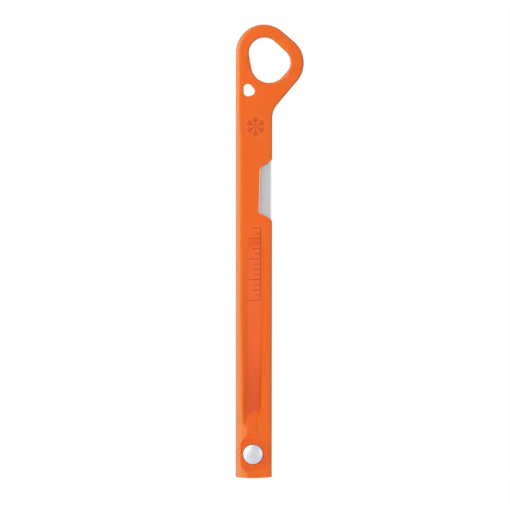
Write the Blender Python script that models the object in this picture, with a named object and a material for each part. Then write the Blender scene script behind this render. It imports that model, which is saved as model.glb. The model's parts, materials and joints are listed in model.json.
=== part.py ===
"""Folding ice-thread hook: a steel hook-and-blade leaf that folds into a moulded cover.

The scene is in metres, +Z up; the dimensions below are in millimetres. The tool stands upright
with its carabiner eye at the top. X runs across it, from the closed spine (-X) to the open
mouth (+X). The front face looks along -Y. The pivot axis is the line X = 0, Z = 0, and the flat
rear end of the rivet is at Y = 0, so the whole tool lies at Y <= 0.
Every piece is drawn about the tool's mid-plane (local Y = 0) and has its origin there.
"""

import math

import bmesh
import bpy

MM = 0.001
SIDES = ((-1, "front"), (1, "rear"))   # sign of local Y, word used in object names

STACK_HALF = 4.45          # mid-plane to either end of the rivet
MID_Y = -STACK_HALF        # mid-plane of the tool
GAP = 0.05                 # running clearance along the pivot axis

# ---- cover, front outline ----
SPINE_X_TOP = -8.28        # spine side at the head
SPINE_X_END = -8.38        # spine side at the pivot end
MOUTH_X_TOP = 9.36         # open side, below the head
MOUTH_X_END = 9.12         # open side at the pivot end
END_Z = -11.5              # lowest point of the slightly crowned pivot end
END_CORNER_Z = -11.0       # its two corners
END_CROWN_X = (-2.0, 0.4, 2.8, 5.4)    # stations along the crowned end
HEAD_A = (5.24, 194.98, 13.52)         # head arcs: centre X, centre Z, radius
HEAD_B = (10.94, 189.90, 13.70)
HEAD_A_STEPS = 18
HEAD_B_STEPS = 13
NECK_ANGLE = -40.25        # outward normal of the line under the head, degrees
NECK_R = 10.1              # concave radius from that line into the open side
NECK_STEPS = 7

# ---- cover, thickness ----
HEAD_HALF_T = 3.0          # half thickness of the head and upper body
PIVOT_HALF_T = 4.25        # half thickness at the pivot
SWELL_TOP_Z = 110.0        # the faces start to swell here ...
SWELL_END_Z = 25.0         # ... and are full here
SPINE_BLEND_TOP_Z = SWELL_TOP_Z + 25.0  # the spine's edge section would reach the head's here

# Edge sections: width across the face, height off the face, end angle in degrees.
# An end angle under 90 leaves a crease where the rounding meets the face.
SPINE_AT_HEAD = (2.2, 2.3, 90.0)
SPINE_AT_PIVOT = (5.5, 3.9, 68.0)
HEAD_EDGE = (1.3, 1.3, 90.0)
MOUTH_EDGE = (0.7, 0.7, 90.0)
ROUND_STEPS = 5

# ---- cover, openings through both faces ----
THROUGH_HALF = 6.0         # half length of cutters that pass right through the cover
# belts around circles: centre X, centre Z, radius
EYE = ((5.56, 194.76, 7.52), (11.19, 190.25, 7.04), (7.79, 188.94, 8.74))
CORD_HOLE = ((-2.45, 177.67, 2.14), (-1.29, 176.21, 2.18), (-2.40, 175.73, 2.09))
EYE_CHAMFER = 0.8
CORD_CHAMFER = 0.4
FLARE_OVERRUN = 0.5        # how far the 45 degree chamfers run on past the face
# pinch window, (x, z), open at the mouth
WINDOW = (
    (12.0, 144.6), (9.4, 143.3), (8.5, 142.5), (6.29, 141.1), (4.6, 140.0),
    (3.65, 138.8), (3.42, 137.6), (2.94, 118.6), (3.25, 117.5), (4.1, 116.5),
    (5.3, 115.75), (6.77, 115.2), (8.5, 114.2), (9.4, 113.0), (12.0, 111.5),
)

# ---- cover, grip recess ----
# Its floor keeps the head's level while the face swells. Both loops are (x, z), point for point;
# the lip is given at the pivot end's face level.
RECESS_FOOT = (
    (-3.60, 108.5), (5.10, 108.5), (4.85, 65.0), (4.05, 26.5), (3.95, 24.7),
    (3.35, 22.7), (2.35, 21.1), (1.20, 20.3), (-2.45, 20.2), (-2.55, 28.0),
)
RECESS_LIP = (
    (-5.90, 110.5), (5.80, 110.5), (5.45, 65.0), (4.70, 26.5), (4.50, 24.2),
    (3.85, 22.0), (2.55, 19.9), (0.60, 17.2), (-2.75, 13.4), (-5.80, 17.0),
)
RECESS_OVERRUN = 1.25      # cutter depth as a multiple of the depth from floor to lip

# ---- cover, spot face under the rivet heads ----
PAD_R = 8.25
PAD_HALF_T = 3.05
PAD_DRAFT = 0.8            # growth of the cutter's radius at its outer end
PAD_CUTTER_END = 5.2       # mid-plane to the cutter's outer end
PAD_SEGMENTS = 64

# ---- cover, channel that swallows the leaf: (x, z), open at the mouth and the pivot end ----
CHANNEL_HALF = 1.10
CHANNEL = (
    (-5.60, -16.0), (-5.60, 64.5), (-4.6, 67.2), (-1.60, 70.0), (-1.60, 142.0),
    (-2.60, 146.0), (-2.60, 157.0), (-0.6, 161.4), (3.6, 163.0), (7.2, 161.6),
    (9.1, 157.5), (12.0, 150.0), (12.0, -16.0),
)

# ---- leaf ----
LEAF_T = 1.5
TANG_R = 5.25
LEAF_MOUTH_X = 8.93
LEAF_SPINE_X = -1.25
LEAF_SHARP_ANGLE = 25.0

BLADE_EDGE_X = -4.85       # cutting edge at its two ends
BLADE_HOLLOW = 0.9         # depth of the hollow halfway along the edge
BLADE_LOW_Z = 17.5
BLADE_HIGH_Z = 61.0
BLADE_LENGTH = BLADE_HIGH_Z - BLADE_LOW_Z
BLADE_STEPS = 9

GRIND_WIDTH = 3.2          # width of the ground bevel
GRIND_EDGE_HALF_T = 0.10   # half thickness left at the cutting edge
GRIND_OVERRUN = 0.25       # the wedge's slope runs on by this share at both sides
GRIND_END_OVERRUN = 1.2    # the wedge runs on past each end of the edge
GRIND_OUTER_Y = 2.0
GRIND_STEPS = 10

# Parts of the leaf outline. Point lists are (x, z);
# arcs are centre X, centre Z, radius, start angle, end angle, steps.
TANG_SPINE_ARC = (0, 0, TANG_R, -60.0, -180.0, 12)
TANG_SPINE_NOTCH = ((-TANG_R, 9.6), (-5.0, 12.4), (-3.55, 14.0), (-3.3, 15.6))
BLADE_SHOULDER = ((-4.3, 63.0), (-2.2, 66.4))
SHAFT_TO_THROAT = (
    (LEAF_SPINE_X, 70.4), (LEAF_SPINE_X, 136.0), (-1.0, 138.6), (-0.35, 140.9), (0.25, 143.3),
)
HOOK_POCKET_ARC = (2.35, 147.7, 2.90, -140.0, 122.0, 18)
BARB_INSIDE = ((-0.15, 148.35), (-1.0, 146.75))
BARB_POINT_ARC = (-1.55, 147.0, 0.62, -30.0, -180.0, 5)
HOOK_TOP_ARC = (3.15, 154.3, 5.35, 176.0, 60.0, 12)
MOUTH_SIDE = ((7.45, 157.2), (8.35, 154.6), (LEAF_MOUTH_X, 151.5), (LEAF_MOUTH_X, 15.6))
HEEL_R = 1.2
HEEL_ARC = (LEAF_MOUTH_X - HEEL_R, 13.5, HEEL_R, 0.0, -75.0, 4)
HEEL_TO_TANG = ((6.0, 12.1), (5.35, 11.6), (TANG_R, 10.8))
TANG_MOUTH_ARC = (0, 0, TANG_R, 0.0, -48.0, 5)

# ---- pivot stack ----
TURNED_SEGMENTS = 48
BORE_COVER_R = 2.10
SHANK_R = 2.00
BUSH_R_IN = 2.05
BUSH_R_OUT = 2.75
BORE_LEAF_R = 2.80
LEAF_BORE_CUTTER_HALF = 3.0
WASHER_R_IN = 2.82
WASHER_R_OUT = 4.60
WASHER_T = 0.25

RIVET_HEAD_R = 4.70
RIVET_UNDERSIDE = PAD_HALF_T + GAP     # mid-plane to the underside of either head
DOME_RIM = 0.38            # cylindrical rim below the front head's crown
DOME_ANGLE = 0.5           # half angle of the spherical crown, radians
DOME_STEPS = 8
TUBE_R_IN = 1.30           # hollow shank of the front half
TUBE_END_Y = PAD_HALF_T - 0.35
TUBE_FLOOR_Y = -2.9
PLUG_R = 1.25              # plug of the rear half, inside the hollow shank
PLUG_END_Y = -2.5
PLUG_CHAMFER = 0.3
# rounded rim of the rear head: distance in from its radius, distance in from its flat end
REAR_RIM = ((0.75, 0.0), (0.3, 0.12), (0.05, 0.4), (0.0, 0.7))


# ---- outline helpers ----
def blend(start, end, share):
    """Linear blend that holds its end values outside shares 0 to 1."""
    share = min(max(share, 0.0), 1.0)
    return start + (end - start) * share


def blend_section(start, end, share):
    return tuple(blend(a, b, share) for a, b in zip(start, end))


def arc(centre_x, centre_z, radius, start, end, steps):
    """steps + 1 points of an arc, angles in degrees."""
    points = []
    for i in range(steps + 1):
        angle = math.radians(start + (end - start) * i / steps)
        points.append((centre_x + radius * math.cos(angle), centre_z + radius * math.sin(angle)))
    return points


def belt(circles, count, grow=0.0):
    """The belt around several circles, one point for each of count normal directions."""
    points = []
    for i in range(count):
        angle = 2 * math.pi * i / count
        nx, nz = math.cos(angle), math.sin(angle)
        x, z, radius = max(circles, key=lambda c: c[0] * nx + c[1] * nz + c[2])
        points.append((x + (radius + grow) * nx, z + (radius + grow) * nz))
    return points


# ---- solid helpers ----
def add_vert(bm, x, y, z):
    return bm.verts.new((x * MM, y * MM, z * MM))


def loft(loops):
    """A closed body through equal-length loops of (x, y, z) points."""
    bm = bmesh.new()
    rings = [[add_vert(bm, *point) for point in loop] for loop in loops]
    for a, b in zip(rings, rings[1:]):
        for i in range(len(a)):
            j = (i + 1) % len(a)
            bm.faces.new((a[i], a[j], b[j], b[i]))
    bm.faces.new(rings[0])
    bm.faces.new(list(reversed(rings[-1])))
    return bm


def layered(levels):
    """A closed body through levels of (y, outline), each outline a list of (x, z)."""
    return loft([[(x, y, z) for x, z in outline] for y, outline in levels])


def prism(outline, half):
    return layered([(-half, outline), (half, outline)])


def turned(profile, segments=TURNED_SEGMENTS):
    """A body of revolution about the pivot axis from (radius, y) points.

    A profile that starts and ends at radius 0 is solid; any other is joined end to start.
    """
    bm = bmesh.new()
    angles = [2 * math.pi * i / segments for i in range(segments)]
    rings = []
    for radius, y in profile:
        if radius == 0.0:
            rings.append([add_vert(bm, 0.0, y, 0.0)])
        else:
            r = radius * MM
            rings.append([bm.verts.new((r * math.cos(angle), y * MM, r * math.sin(angle)))
                          for angle in angles])
    pairs = list(zip(rings, rings[1:]))
    if profile[0][0] != 0.0:
        pairs.append((rings[-1], rings[0]))
    for a, b in pairs:
        for i in range(segments):
            j = (i + 1) % segments
            if len(a) == 1:
                bm.faces.new((a[0], b[j], b[i]))
            elif len(b) == 1:
                bm.faces.new((a[i], a[j], b[0]))
            else:
                bm.faces.new((a[i], a[j], b[j], b[i]))
    return bm


def sleeve(r_in, r_out, y0, y1):
    """A turned ring between two levels; an inner radius of 0 gives a solid disc."""
    return turned([(r_in, y0), (r_out, y0), (r_out, y1), (r_in, y1)])


def make_object(name, bm, mat=None, sharp_angle=35.0):
    """Turns bm into a shaded object whose origin is on the tool's mid-plane."""
    bmesh.ops.recalc_face_normals(bm, faces=bm.faces[:])
    mesh = bpy.data.meshes.new(name)
    bm.to_mesh(mesh)
    bm.free()
    mesh.shade_smooth()
    mesh.set_sharp_from_angle(angle=math.radians(sharp_angle))
    if mat:
        mesh.materials.append(mat)
    obj = bpy.data.objects.new(name, mesh)
    obj.location = (0, MID_Y * MM, 0)
    bpy.context.scene.collection.objects.link(obj)
    return obj


def cut(obj, name, bm):
    """Subtracts a closed cutter from obj with a Boolean modifier."""
    cutter = make_object(name, bm)
    cutter.hide_render = True
    cutter.display_type = "WIRE"
    mod = obj.modifiers.new(name, "BOOLEAN")
    mod.operation = "DIFFERENCE"
    mod.solver = "EXACT"
    mod.object = cutter


def material(name, colour, roughness, metallic):
    mat = bpy.data.materials.new(name)
    mat.use_nodes = True
    shader = mat.node_tree.nodes["Principled BSDF"]
    shader.inputs["Base Color"].default_value = (*colour, 1.0)
    shader.inputs["Roughness"].default_value = roughness
    shader.inputs["Metallic"].default_value = metallic
    mat.diffuse_color = (*colour, 1.0)
    return mat


# ---- cover ----
def end_z(x):
    """Height of the slightly crowned pivot end."""
    middle = (SPINE_X_END + MOUTH_X_END) / 2
    half = (MOUTH_X_END - SPINE_X_END) / 2
    return END_Z + (END_CORNER_Z - END_Z) * ((x - middle) / half) ** 2


def half_thickness(z):
    return blend(HEAD_HALF_T, PIVOT_HALF_T, (SWELL_TOP_Z - z) / (SWELL_TOP_Z - SWELL_END_Z))


def cover_outline():
    """(x, z, edge section) up the spine, round the head and down the open side."""
    ax, az, a_radius = HEAD_A
    bx, bz, b_radius = HEAD_B
    points = []
    for z in (END_CORNER_Z, SWELL_END_Z, SWELL_TOP_Z):
        x = blend(SPINE_X_END, SPINE_X_TOP, (z - END_CORNER_Z) / (az - END_CORNER_Z))
        share = (z - SWELL_END_Z) / (SPINE_BLEND_TOP_Z - SWELL_END_Z)
        points.append((x, z, blend_section(SPINE_AT_PIVOT, SPINE_AT_HEAD, share)))

    # the head arcs meet at the outward normal of their common tangent
    between = math.hypot(bx - ax, bz - az)
    tangent = math.degrees(math.atan2(bz - az, bx - ax))
    tangent += math.degrees(math.acos((a_radius - b_radius) / between))
    # the edge section has changed over halfway round the first arc
    for i, (x, z) in enumerate(arc(*HEAD_A, 180.0, tangent, HEAD_A_STEPS)):
        section = blend_section(SPINE_AT_HEAD, HEAD_EDGE, i / (HEAD_A_STEPS / 2))
        points.append((x, z, section))
    for x, z in arc(*HEAD_B, tangent, NECK_ANGLE, HEAD_B_STEPS)[1:]:
        points.append((x, z, HEAD_EDGE))

    # concave neck radius, tangent to the line under the head and to the open side
    normal = math.radians(NECK_ANGLE)
    nx, nz = math.cos(normal), math.sin(normal)
    neck_x = MOUTH_X_TOP + NECK_R
    neck_z = (nx * bx + nz * bz + b_radius + NECK_R - nx * neck_x) / nz
    neck = arc(neck_x, neck_z, NECK_R, NECK_ANGLE + 180.0, 180.0, NECK_STEPS)
    for i, (x, z) in enumerate(neck):
        points.append((x, z, blend_section(HEAD_EDGE, MOUTH_EDGE, i / NECK_STEPS)))

    top_z = neck[-1][1]
    for z in (SWELL_TOP_Z, SWELL_END_Z, END_CORNER_Z):
        x = blend(MOUTH_X_TOP, MOUTH_X_END, (top_z - z) / (top_z - END_CORNER_Z))
        points.append((x, z, MOUTH_EDGE))
    return points


def inset(outline, i, distance):
    """Outline point i moved inwards so that the sides next to it move by distance."""
    x, z = outline[i][:2]
    if i == 0:
        return x + distance, z
    if i == len(outline) - 1:
        return x - distance, z
    x0, z0 = outline[i - 1][:2]
    x1, z1 = outline[i + 1][:2]
    ux, uz = x - x0, z - z0
    vx, vz = x1 - x, z1 - z
    u_length, v_length = math.hypot(ux, uz), math.hypot(vx, vz)
    nx, nz = uz / u_length + vz / v_length, -ux / u_length - vx / v_length
    length = math.hypot(nx, nz)
    nx, nz = nx / length, nz / length
    square = nx * uz / u_length - nz * ux / u_length
    return x + nx * distance / square, z + nz * distance / square


def edge_ring(bm, outline, step, side):
    """One open row of vertices along the rounding; step 0 is the outermost."""
    verts = []
    for i, (_, _, (width, height, end_angle)) in enumerate(outline):
        end = math.radians(end_angle)
        angle = end * step / ROUND_STEPS
        x, z = inset(outline, i, width * (1 - math.cos(angle)) / (1 - math.cos(end)))
        y = half_thickness(z) - height * (1 - math.sin(angle) / math.sin(end))
        if i in (0, len(outline) - 1):
            z = end_z(x)
        verts.append(add_vert(bm, x, side * y, z))
    return verts


def cover_blank():
    """The outline as a slab with rounded edges whose two faces swell towards the pivot."""
    outline = cover_outline()
    last = len(outline) - 1
    bm = bmesh.new()
    front, rear = ([edge_ring(bm, outline, step, side) for step in range(ROUND_STEPS + 1)]
                   for side, _ in SIDES)
    stack = list(reversed(front)) + rear
    for a, b in zip(stack, stack[1:]):
        for i in range(last):
            bm.faces.new((a[i], a[i + 1], b[i + 1], b[i]))

    end_rows = []
    for (side, _), rings in zip(SIDES, (front, rear)):
        rim = rings[-1]
        crown = [add_vert(bm, x, side * half_thickness(END_Z), end_z(x)) for x in END_CROWN_X]
        # the flat of each face, in three planar pieces: lower body, swell, upper body with head
        bm.faces.new([rim[0], rim[1], rim[last - 1], rim[last]] + list(reversed(crown)))
        bm.faces.new([rim[1], rim[2], rim[last - 2], rim[last - 1]])
        bm.faces.new(rim[2:last - 1])
        end_rows.append([r[0] for r in rings] + crown + [r[last] for r in reversed(rings)])

    # the crowned pivot end, from the front row to the rear row
    a, b = end_rows
    for i in range(len(a) - 1):
        bm.faces.new((a[i], a[i + 1], b[i + 1], b[i]))
    return bm


def flared(circles, count, chamfer):
    """A through-cutter for the head that opens by the chamfer at both faces."""
    tight = belt(circles, count)
    wide = belt(circles, count, chamfer + FLARE_OVERRUN)
    outer = HEAD_HALF_T + FLARE_OVERRUN
    inner = HEAD_HALF_T - chamfer
    return layered([(-outer, wide), (-inner, tight), (inner, tight), (outer, wide)])


def recess_cutter(side):
    """The grip recess, its drafted wall carried on past the lip to clear the face."""
    top = [(foot_x + (lip_x - foot_x) * RECESS_OVERRUN, foot_z + (lip_z - foot_z) * RECESS_OVERRUN)
           for (lip_x, lip_z), (foot_x, foot_z) in zip(RECESS_LIP, RECESS_FOOT)]
    top_y = HEAD_HALF_T + (PIVOT_HALF_T - HEAD_HALF_T) * RECESS_OVERRUN
    return layered([(side * HEAD_HALF_T, RECESS_FOOT), (side * top_y, top)])


def pad_cutter(side):
    floor_y, outer_y = side * PAD_HALF_T, side * PAD_CUTTER_END
    profile = [(0.0, floor_y), (PAD_R, floor_y), (PAD_R + PAD_DRAFT, outer_y), (0.0, outer_y)]
    return turned(profile, PAD_SEGMENTS)


def build_cover(mat):
    cover = make_object("cover", cover_blank(), mat)
    cut(cover, "cutter_channel", prism(CHANNEL, CHANNEL_HALF))
    cut(cover, "cutter_window", prism(WINDOW, THROUGH_HALF))
    cut(cover, "cutter_eye", flared(EYE, 48, EYE_CHAMFER))
    cut(cover, "cutter_cord_hole", flared(CORD_HOLE, 28, CORD_CHAMFER))
    for side, word in SIDES:
        cut(cover, f"cutter_recess_{word}", recess_cutter(side))
        cut(cover, f"cutter_pad_{word}", pad_cutter(side))
    cut(cover, "cutter_rivet_bore", sleeve(0.0, BORE_COVER_R, -THROUGH_HALF, THROUGH_HALF))


# ---- leaf ----
def blade_edge_x(share):
    """X of the slightly hollow cutting edge, share 0 at its low end and 1 at its high end."""
    return BLADE_EDGE_X + BLADE_HOLLOW * math.sin(math.pi * share)


def leaf_outline():
    """Clockwise seen from the front, from under the tang up the spine side and back down."""
    shares = [i / BLADE_STEPS for i in range(BLADE_STEPS + 1)]
    return [
        *arc(*TANG_SPINE_ARC),
        *TANG_SPINE_NOTCH,
        *((blade_edge_x(share), BLADE_LOW_Z + BLADE_LENGTH * share) for share in shares),
        *BLADE_SHOULDER,
        *SHAFT_TO_THROAT,
        *arc(*HOOK_POCKET_ARC),
        *BARB_INSIDE,
        *arc(*BARB_POINT_ARC),
        *arc(*HOOK_TOP_ARC),
        *MOUTH_SIDE,
        *arc(*HEEL_ARC),
        *HEEL_TO_TANG,
        *arc(*TANG_MOUTH_ARC),
    ]


def grind_cutter(side):
    """A wedge that follows the hollow edge and grinds one side of the blade."""
    depth = LEAF_T / 2 - GRIND_EDGE_HALF_T
    inner_x = GRIND_WIDTH * (1 + GRIND_OVERRUN)
    outer_x = -GRIND_WIDTH * GRIND_OVERRUN
    section = (                            # x from the edge, y
        (inner_x, side * (LEAF_T / 2 + depth * GRIND_OVERRUN)),
        (outer_x, side * (GRIND_EDGE_HALF_T - depth * GRIND_OVERRUN)),
        (outer_x, side * GRIND_OUTER_Y),
        (inner_x, side * GRIND_OUTER_Y),
    )
    loops = []
    for i in range(GRIND_STEPS + 1):
        run = (BLADE_LENGTH + 2 * GRIND_END_OVERRUN) * i / GRIND_STEPS
        z = BLADE_LOW_Z - GRIND_END_OVERRUN + run
        edge = blade_edge_x(min(max((z - BLADE_LOW_Z) / BLADE_LENGTH, 0.0), 1.0))
        loops.append([(edge + x, y, z) for x, y in section])
    return loft(loops)


def build_leaf(mat):
    leaf = make_object("hook_blade", prism(leaf_outline(), LEAF_T / 2), mat, LEAF_SHARP_ANGLE)
    for side, word in SIDES:
        cut(leaf, f"cutter_grind_{word}", grind_cutter(side))
    half = LEAF_BORE_CUTTER_HALF
    cut(leaf, "cutter_leaf_bore", sleeve(0.0, BORE_LEAF_R, -half, half))


# ---- pivot stack ----
def build_rivet_front(mat):
    """Domed head with a hollow shank."""
    rim_y = RIVET_UNDERSIDE + DOME_RIM
    flat = math.cos(DOME_ANGLE)
    profile = []
    for i in range(DOME_STEPS + 1):
        angle = DOME_ANGLE * i / DOME_STEPS
        rise = (math.cos(angle) - flat) / (1 - flat)
        radius = RIVET_HEAD_R * math.sin(angle) / math.sin(DOME_ANGLE)
        profile.append((radius, -(rim_y + (STACK_HALF - rim_y) * rise)))
    profile += [
        (RIVET_HEAD_R, -RIVET_UNDERSIDE), (SHANK_R, -RIVET_UNDERSIDE),
        (SHANK_R, TUBE_END_Y), (TUBE_R_IN, TUBE_END_Y),
        (TUBE_R_IN, TUBE_FLOOR_Y), (0.0, TUBE_FLOOR_Y),
    ]
    make_object("rivet_front_half", turned(profile), mat)


def build_rivet_rear(mat):
    """Flat head with a round rim and a chamfered plug."""
    profile = [(0.0, STACK_HALF)]
    profile += [(RIVET_HEAD_R - inward, STACK_HALF - down) for inward, down in REAR_RIM]
    profile += [
        (RIVET_HEAD_R, RIVET_UNDERSIDE), (PLUG_R, RIVET_UNDERSIDE),
        (PLUG_R, PLUG_END_Y + PLUG_CHAMFER), (PLUG_R - PLUG_CHAMFER, PLUG_END_Y),
        (0.0, PLUG_END_Y),
    ]
    make_object("rivet_rear_half", turned(profile), mat)


def build_bush(mat):
    half = CHANNEL_HALF - GAP
    make_object("pivot_bush", sleeve(BUSH_R_IN, BUSH_R_OUT, -half, half), mat)


def build_washers(mat):
    """One washer on each side of the leaf."""
    inner = LEAF_T / 2 + GAP
    for side, word in SIDES:
        body = sleeve(WASHER_R_IN, WASHER_R_OUT, side * inner, side * (inner + WASHER_T))
        make_object(f"washer_{word}", body, mat)


# ---- build ----
for old in list(bpy.data.objects):
    bpy.data.objects.remove(old, do_unlink=True)

orange = material("orange_nylon", colour=(0.83, 0.145, 0.022), roughness=0.45, metallic=0.0)
steel = material("satin_stainless", colour=(0.56, 0.56, 0.57), roughness=0.32, metallic=1.0)
bright = material("bright_rivet_steel", colour=(0.78, 0.79, 0.81), roughness=0.22, metallic=1.0)
bronze = material("washer_bronze", colour=(0.62, 0.42, 0.20), roughness=0.35, metallic=1.0)

build_cover(orange)
build_leaf(steel)
build_rivet_front(bright)
build_rivet_rear(bright)
build_bush(steel)
build_washers(bronze)
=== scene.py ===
"""A folding hook, closed: a moulded cover, a steel leaf folded into its channel, and a rivet.

It stands upright.  x runs across it, from the closed spine (-x) to the open side (+x); y runs
through its thickness, the front being -y; z runs up from the pivot end to the head.  Outlines and
heights are in millimetres about the pivot axis and the mid-plane.  Cover and leaf are sheets of
triangles over an outline in x and z, lifted on either side of the mid-plane to a height that
depends on the place, and closed by walls.
"""

import json
import math

import bmesh
import bpy
import numpy as np
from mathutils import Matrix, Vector
from mathutils.geometry import delaunay_2d_cdt
from mathutils.kdtree import KDTree


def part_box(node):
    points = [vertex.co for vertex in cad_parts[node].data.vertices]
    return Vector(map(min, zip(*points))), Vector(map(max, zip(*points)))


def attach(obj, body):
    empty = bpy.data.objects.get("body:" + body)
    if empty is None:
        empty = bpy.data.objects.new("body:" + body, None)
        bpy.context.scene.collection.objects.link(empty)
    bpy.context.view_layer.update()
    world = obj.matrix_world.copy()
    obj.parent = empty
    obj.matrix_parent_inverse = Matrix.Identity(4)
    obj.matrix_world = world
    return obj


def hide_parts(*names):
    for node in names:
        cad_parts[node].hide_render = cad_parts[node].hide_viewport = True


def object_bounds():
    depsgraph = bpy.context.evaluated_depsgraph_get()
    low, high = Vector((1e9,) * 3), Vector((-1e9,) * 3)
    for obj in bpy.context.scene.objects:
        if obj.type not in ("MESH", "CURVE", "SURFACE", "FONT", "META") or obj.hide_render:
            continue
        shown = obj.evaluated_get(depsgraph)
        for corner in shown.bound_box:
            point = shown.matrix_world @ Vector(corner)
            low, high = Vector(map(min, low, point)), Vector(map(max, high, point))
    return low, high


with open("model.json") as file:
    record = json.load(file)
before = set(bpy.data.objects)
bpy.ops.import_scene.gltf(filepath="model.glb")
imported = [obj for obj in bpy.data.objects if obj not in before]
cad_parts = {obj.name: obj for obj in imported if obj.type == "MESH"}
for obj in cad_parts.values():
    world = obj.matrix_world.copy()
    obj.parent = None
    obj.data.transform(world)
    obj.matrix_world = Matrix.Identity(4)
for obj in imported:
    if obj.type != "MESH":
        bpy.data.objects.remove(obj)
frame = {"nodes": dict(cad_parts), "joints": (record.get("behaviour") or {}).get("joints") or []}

MM = 0.001
cad_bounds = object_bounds()

hinge = next(joint for joint in frame["joints"] if joint["name"] == "hook_hinge")
PIVOT = Vector(hinge["pos_m"])                       # on the axis, in the mid-plane


def box_about_pivot(node):
    """Low and high corner of a CAD node, in millimetres about the pivot."""
    return (Vector([c / MM for c in (corner - PIVOT)]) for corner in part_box(node))


COVER_LO, COVER_HI = box_about_pivot("cover")
_, LEAF_HI = box_about_pivot("hook_blade")
FRONT_LO, FRONT_HI = box_about_pivot("rivet_front_half")
_, REAR_HI = box_about_pivot("rivet_rear_half")


# =========================================================================================
# plane curves
# =========================================================================================
def arc(cx, cz, radius, start, end, step):
    """Points along an arc; angles and step in degrees."""
    count = max(2, int(math.ceil(abs(end - start) / step)))
    angles = np.radians(np.linspace(start, end, count + 1))
    return [(cx + radius * math.cos(a), cz + radius * math.sin(a)) for a in angles]


def circle(radius, count):
    turns = [2 * math.pi * i / count for i in range(count)]
    return [(radius * math.cos(a), radius * math.sin(a)) for a in turns]


def line(start, end, step):
    n = max(1, int(math.ceil(math.dist(start, end) / step)))
    return [(start[0] + (end[0] - start[0]) * i / n, start[1] + (end[1] - start[1]) * i / n)
            for i in range(n + 1)]


def rounded(corners, radii, arc_step):
    """A polyline with each inner corner rounded to its radius, one point each arc_step degrees."""
    out = [corners[0]]
    for i, radius in enumerate(radii, 1):
        before, corner, after = (np.array(v, float) for v in corners[i - 1:i + 2])
        to_before = (before - corner) / np.linalg.norm(before - corner)
        to_after = (after - corner) / np.linalg.norm(after - corner)
        half = math.acos(max(-1.0, min(1.0, float(to_before @ to_after)))) / 2
        back = radius / math.tan(half)
        first, last = corner + to_before * back, corner + to_after * back
        middle = to_before + to_after
        centre = corner + middle / np.linalg.norm(middle) * (radius / math.sin(half))
        start = math.atan2(*(first - centre)[::-1])
        end = math.atan2(*(last - centre)[::-1])
        while end - start > math.pi:
            end -= 2 * math.pi
        while end - start < -math.pi:
            end += 2 * math.pi
        count = max(2, int(math.ceil(abs(math.degrees(end - start)) / arc_step)))
        for k in range(count + 1):
            a = start + (end - start) * k / count
            out.append((centre[0] + radius * math.cos(a), centre[1] + radius * math.sin(a)))
    out.append(corners[-1])
    return out


def resample(points, step):
    """Adds points so that no gap is over step; keeps every given point."""
    out = [points[0]]
    for start, end in zip(points, points[1:]):
        out += line(start, end, step)[1:]
    return out


def without_repeats(points, gap):
    """A loop without the points that lie within gap of the one before."""
    out = [points[0]]
    for point in points[1:]:
        if math.dist(point, out[-1]) > gap:
            out.append(point)
    if math.dist(out[0], out[-1]) < gap:
        out.pop()
    return out


def hull_of_circles(circles, count, grow=0.0):
    """The convex outline round circles (x, z, radius), one point per direction."""
    out = []
    for i in range(count):
        a = 2 * math.pi * i / count
        nx, nz = math.cos(a), math.sin(a)
        cx, cz, radius = max(circles, key=lambda c: c[0] * nx + c[1] * nz + c[2])
        out.append((cx + (radius + grow) * nx, cz + (radius + grow) * nz))
    return np.array(out)


def closed(loop):
    return np.vstack([loop, loop[:1]])


def nearest(points, path, values):
    """Distance from each point to a polyline, and the polyline's values at the nearest place."""
    starts, ends = path[:-1], path[1:]
    spans = ends - starts
    squares = np.maximum((spans ** 2).sum(1), 1e-12)
    dist = np.empty(len(points))
    found = np.empty((len(points), values.shape[1]))
    for s in range(0, len(points), 3000):              # in batches, to spare memory
        batch = points[s:s + 3000]
        t = ((batch[:, None, :] - starts[None]) * spans[None]).sum(2) / squares[None]
        t = np.clip(t, 0, 1)
        gap = batch[:, None, :] - (starts[None] + t[..., None] * spans[None])
        gap_squares = (gap ** 2).sum(2)
        k = gap_squares.argmin(1)
        rows = np.arange(len(batch))
        dist[s:s + 3000] = np.sqrt(gap_squares[rows, k])
        along = t[rows, k][:, None]
        found[s:s + 3000] = values[:-1][k] * (1 - along) + values[1:][k] * along
    return dist, found


def distance(points, path):
    return nearest(points, path, path)[0]


def inside(points, loop):
    """Which points lie inside a loop, by counting crossings."""
    x, z = points[:, 0], points[:, 1]
    odd = np.zeros(len(points), bool)
    q = loop[-1]
    for p in loop:
        cross = (p[1] > z) != (q[1] > z)
        if cross.any():
            at = (q[0] - p[0]) * (z - p[1]) / (q[1] - p[1] + 1e-300) + p[0]
            odd ^= cross & (x < at)
        q = p
    return odd


def right_normals(path):
    """The polyline's points and, at each, the unit normal to the right of its run."""
    points = np.array(path, float)
    tangents = np.zeros_like(points)
    tangents[1:-1] = points[2:] - points[:-2]
    tangents[0], tangents[-1] = points[1] - points[0], points[-1] - points[-2]
    tangents /= np.linalg.norm(tangents, axis=1)[:, None]
    return points, np.stack([tangents[:, 1], -tangents[:, 0]], 1)


def inward(path, depth):
    """An open polyline with its inner side on the right, moved inwards."""
    points, normals = right_normals(path)
    return points + normals * depth


# =========================================================================================
# heights and edge roundings
# =========================================================================================
# An edge section is (width, height, end angle) of an elliptic rounding, then the share of a
# superellipse blended in and that one's (width, height, exponent, fall of a flat facet).
PLAIN = (0.0, 1.0, 1.0, 2.0, 0.0)         # the second part of a section without a superellipse
FACET_W = 5.5


def smin(a, b, blend):
    """The lower of two heights, with the crease between them smoothed over blend."""
    h = np.clip(0.5 + 0.5 * (b - a) / blend, 0, 1)
    return b * (1 - h) + a * h - blend * h * (1 - h)


def smax(a, b, blend):
    return -smin(-a, -b, blend)


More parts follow.
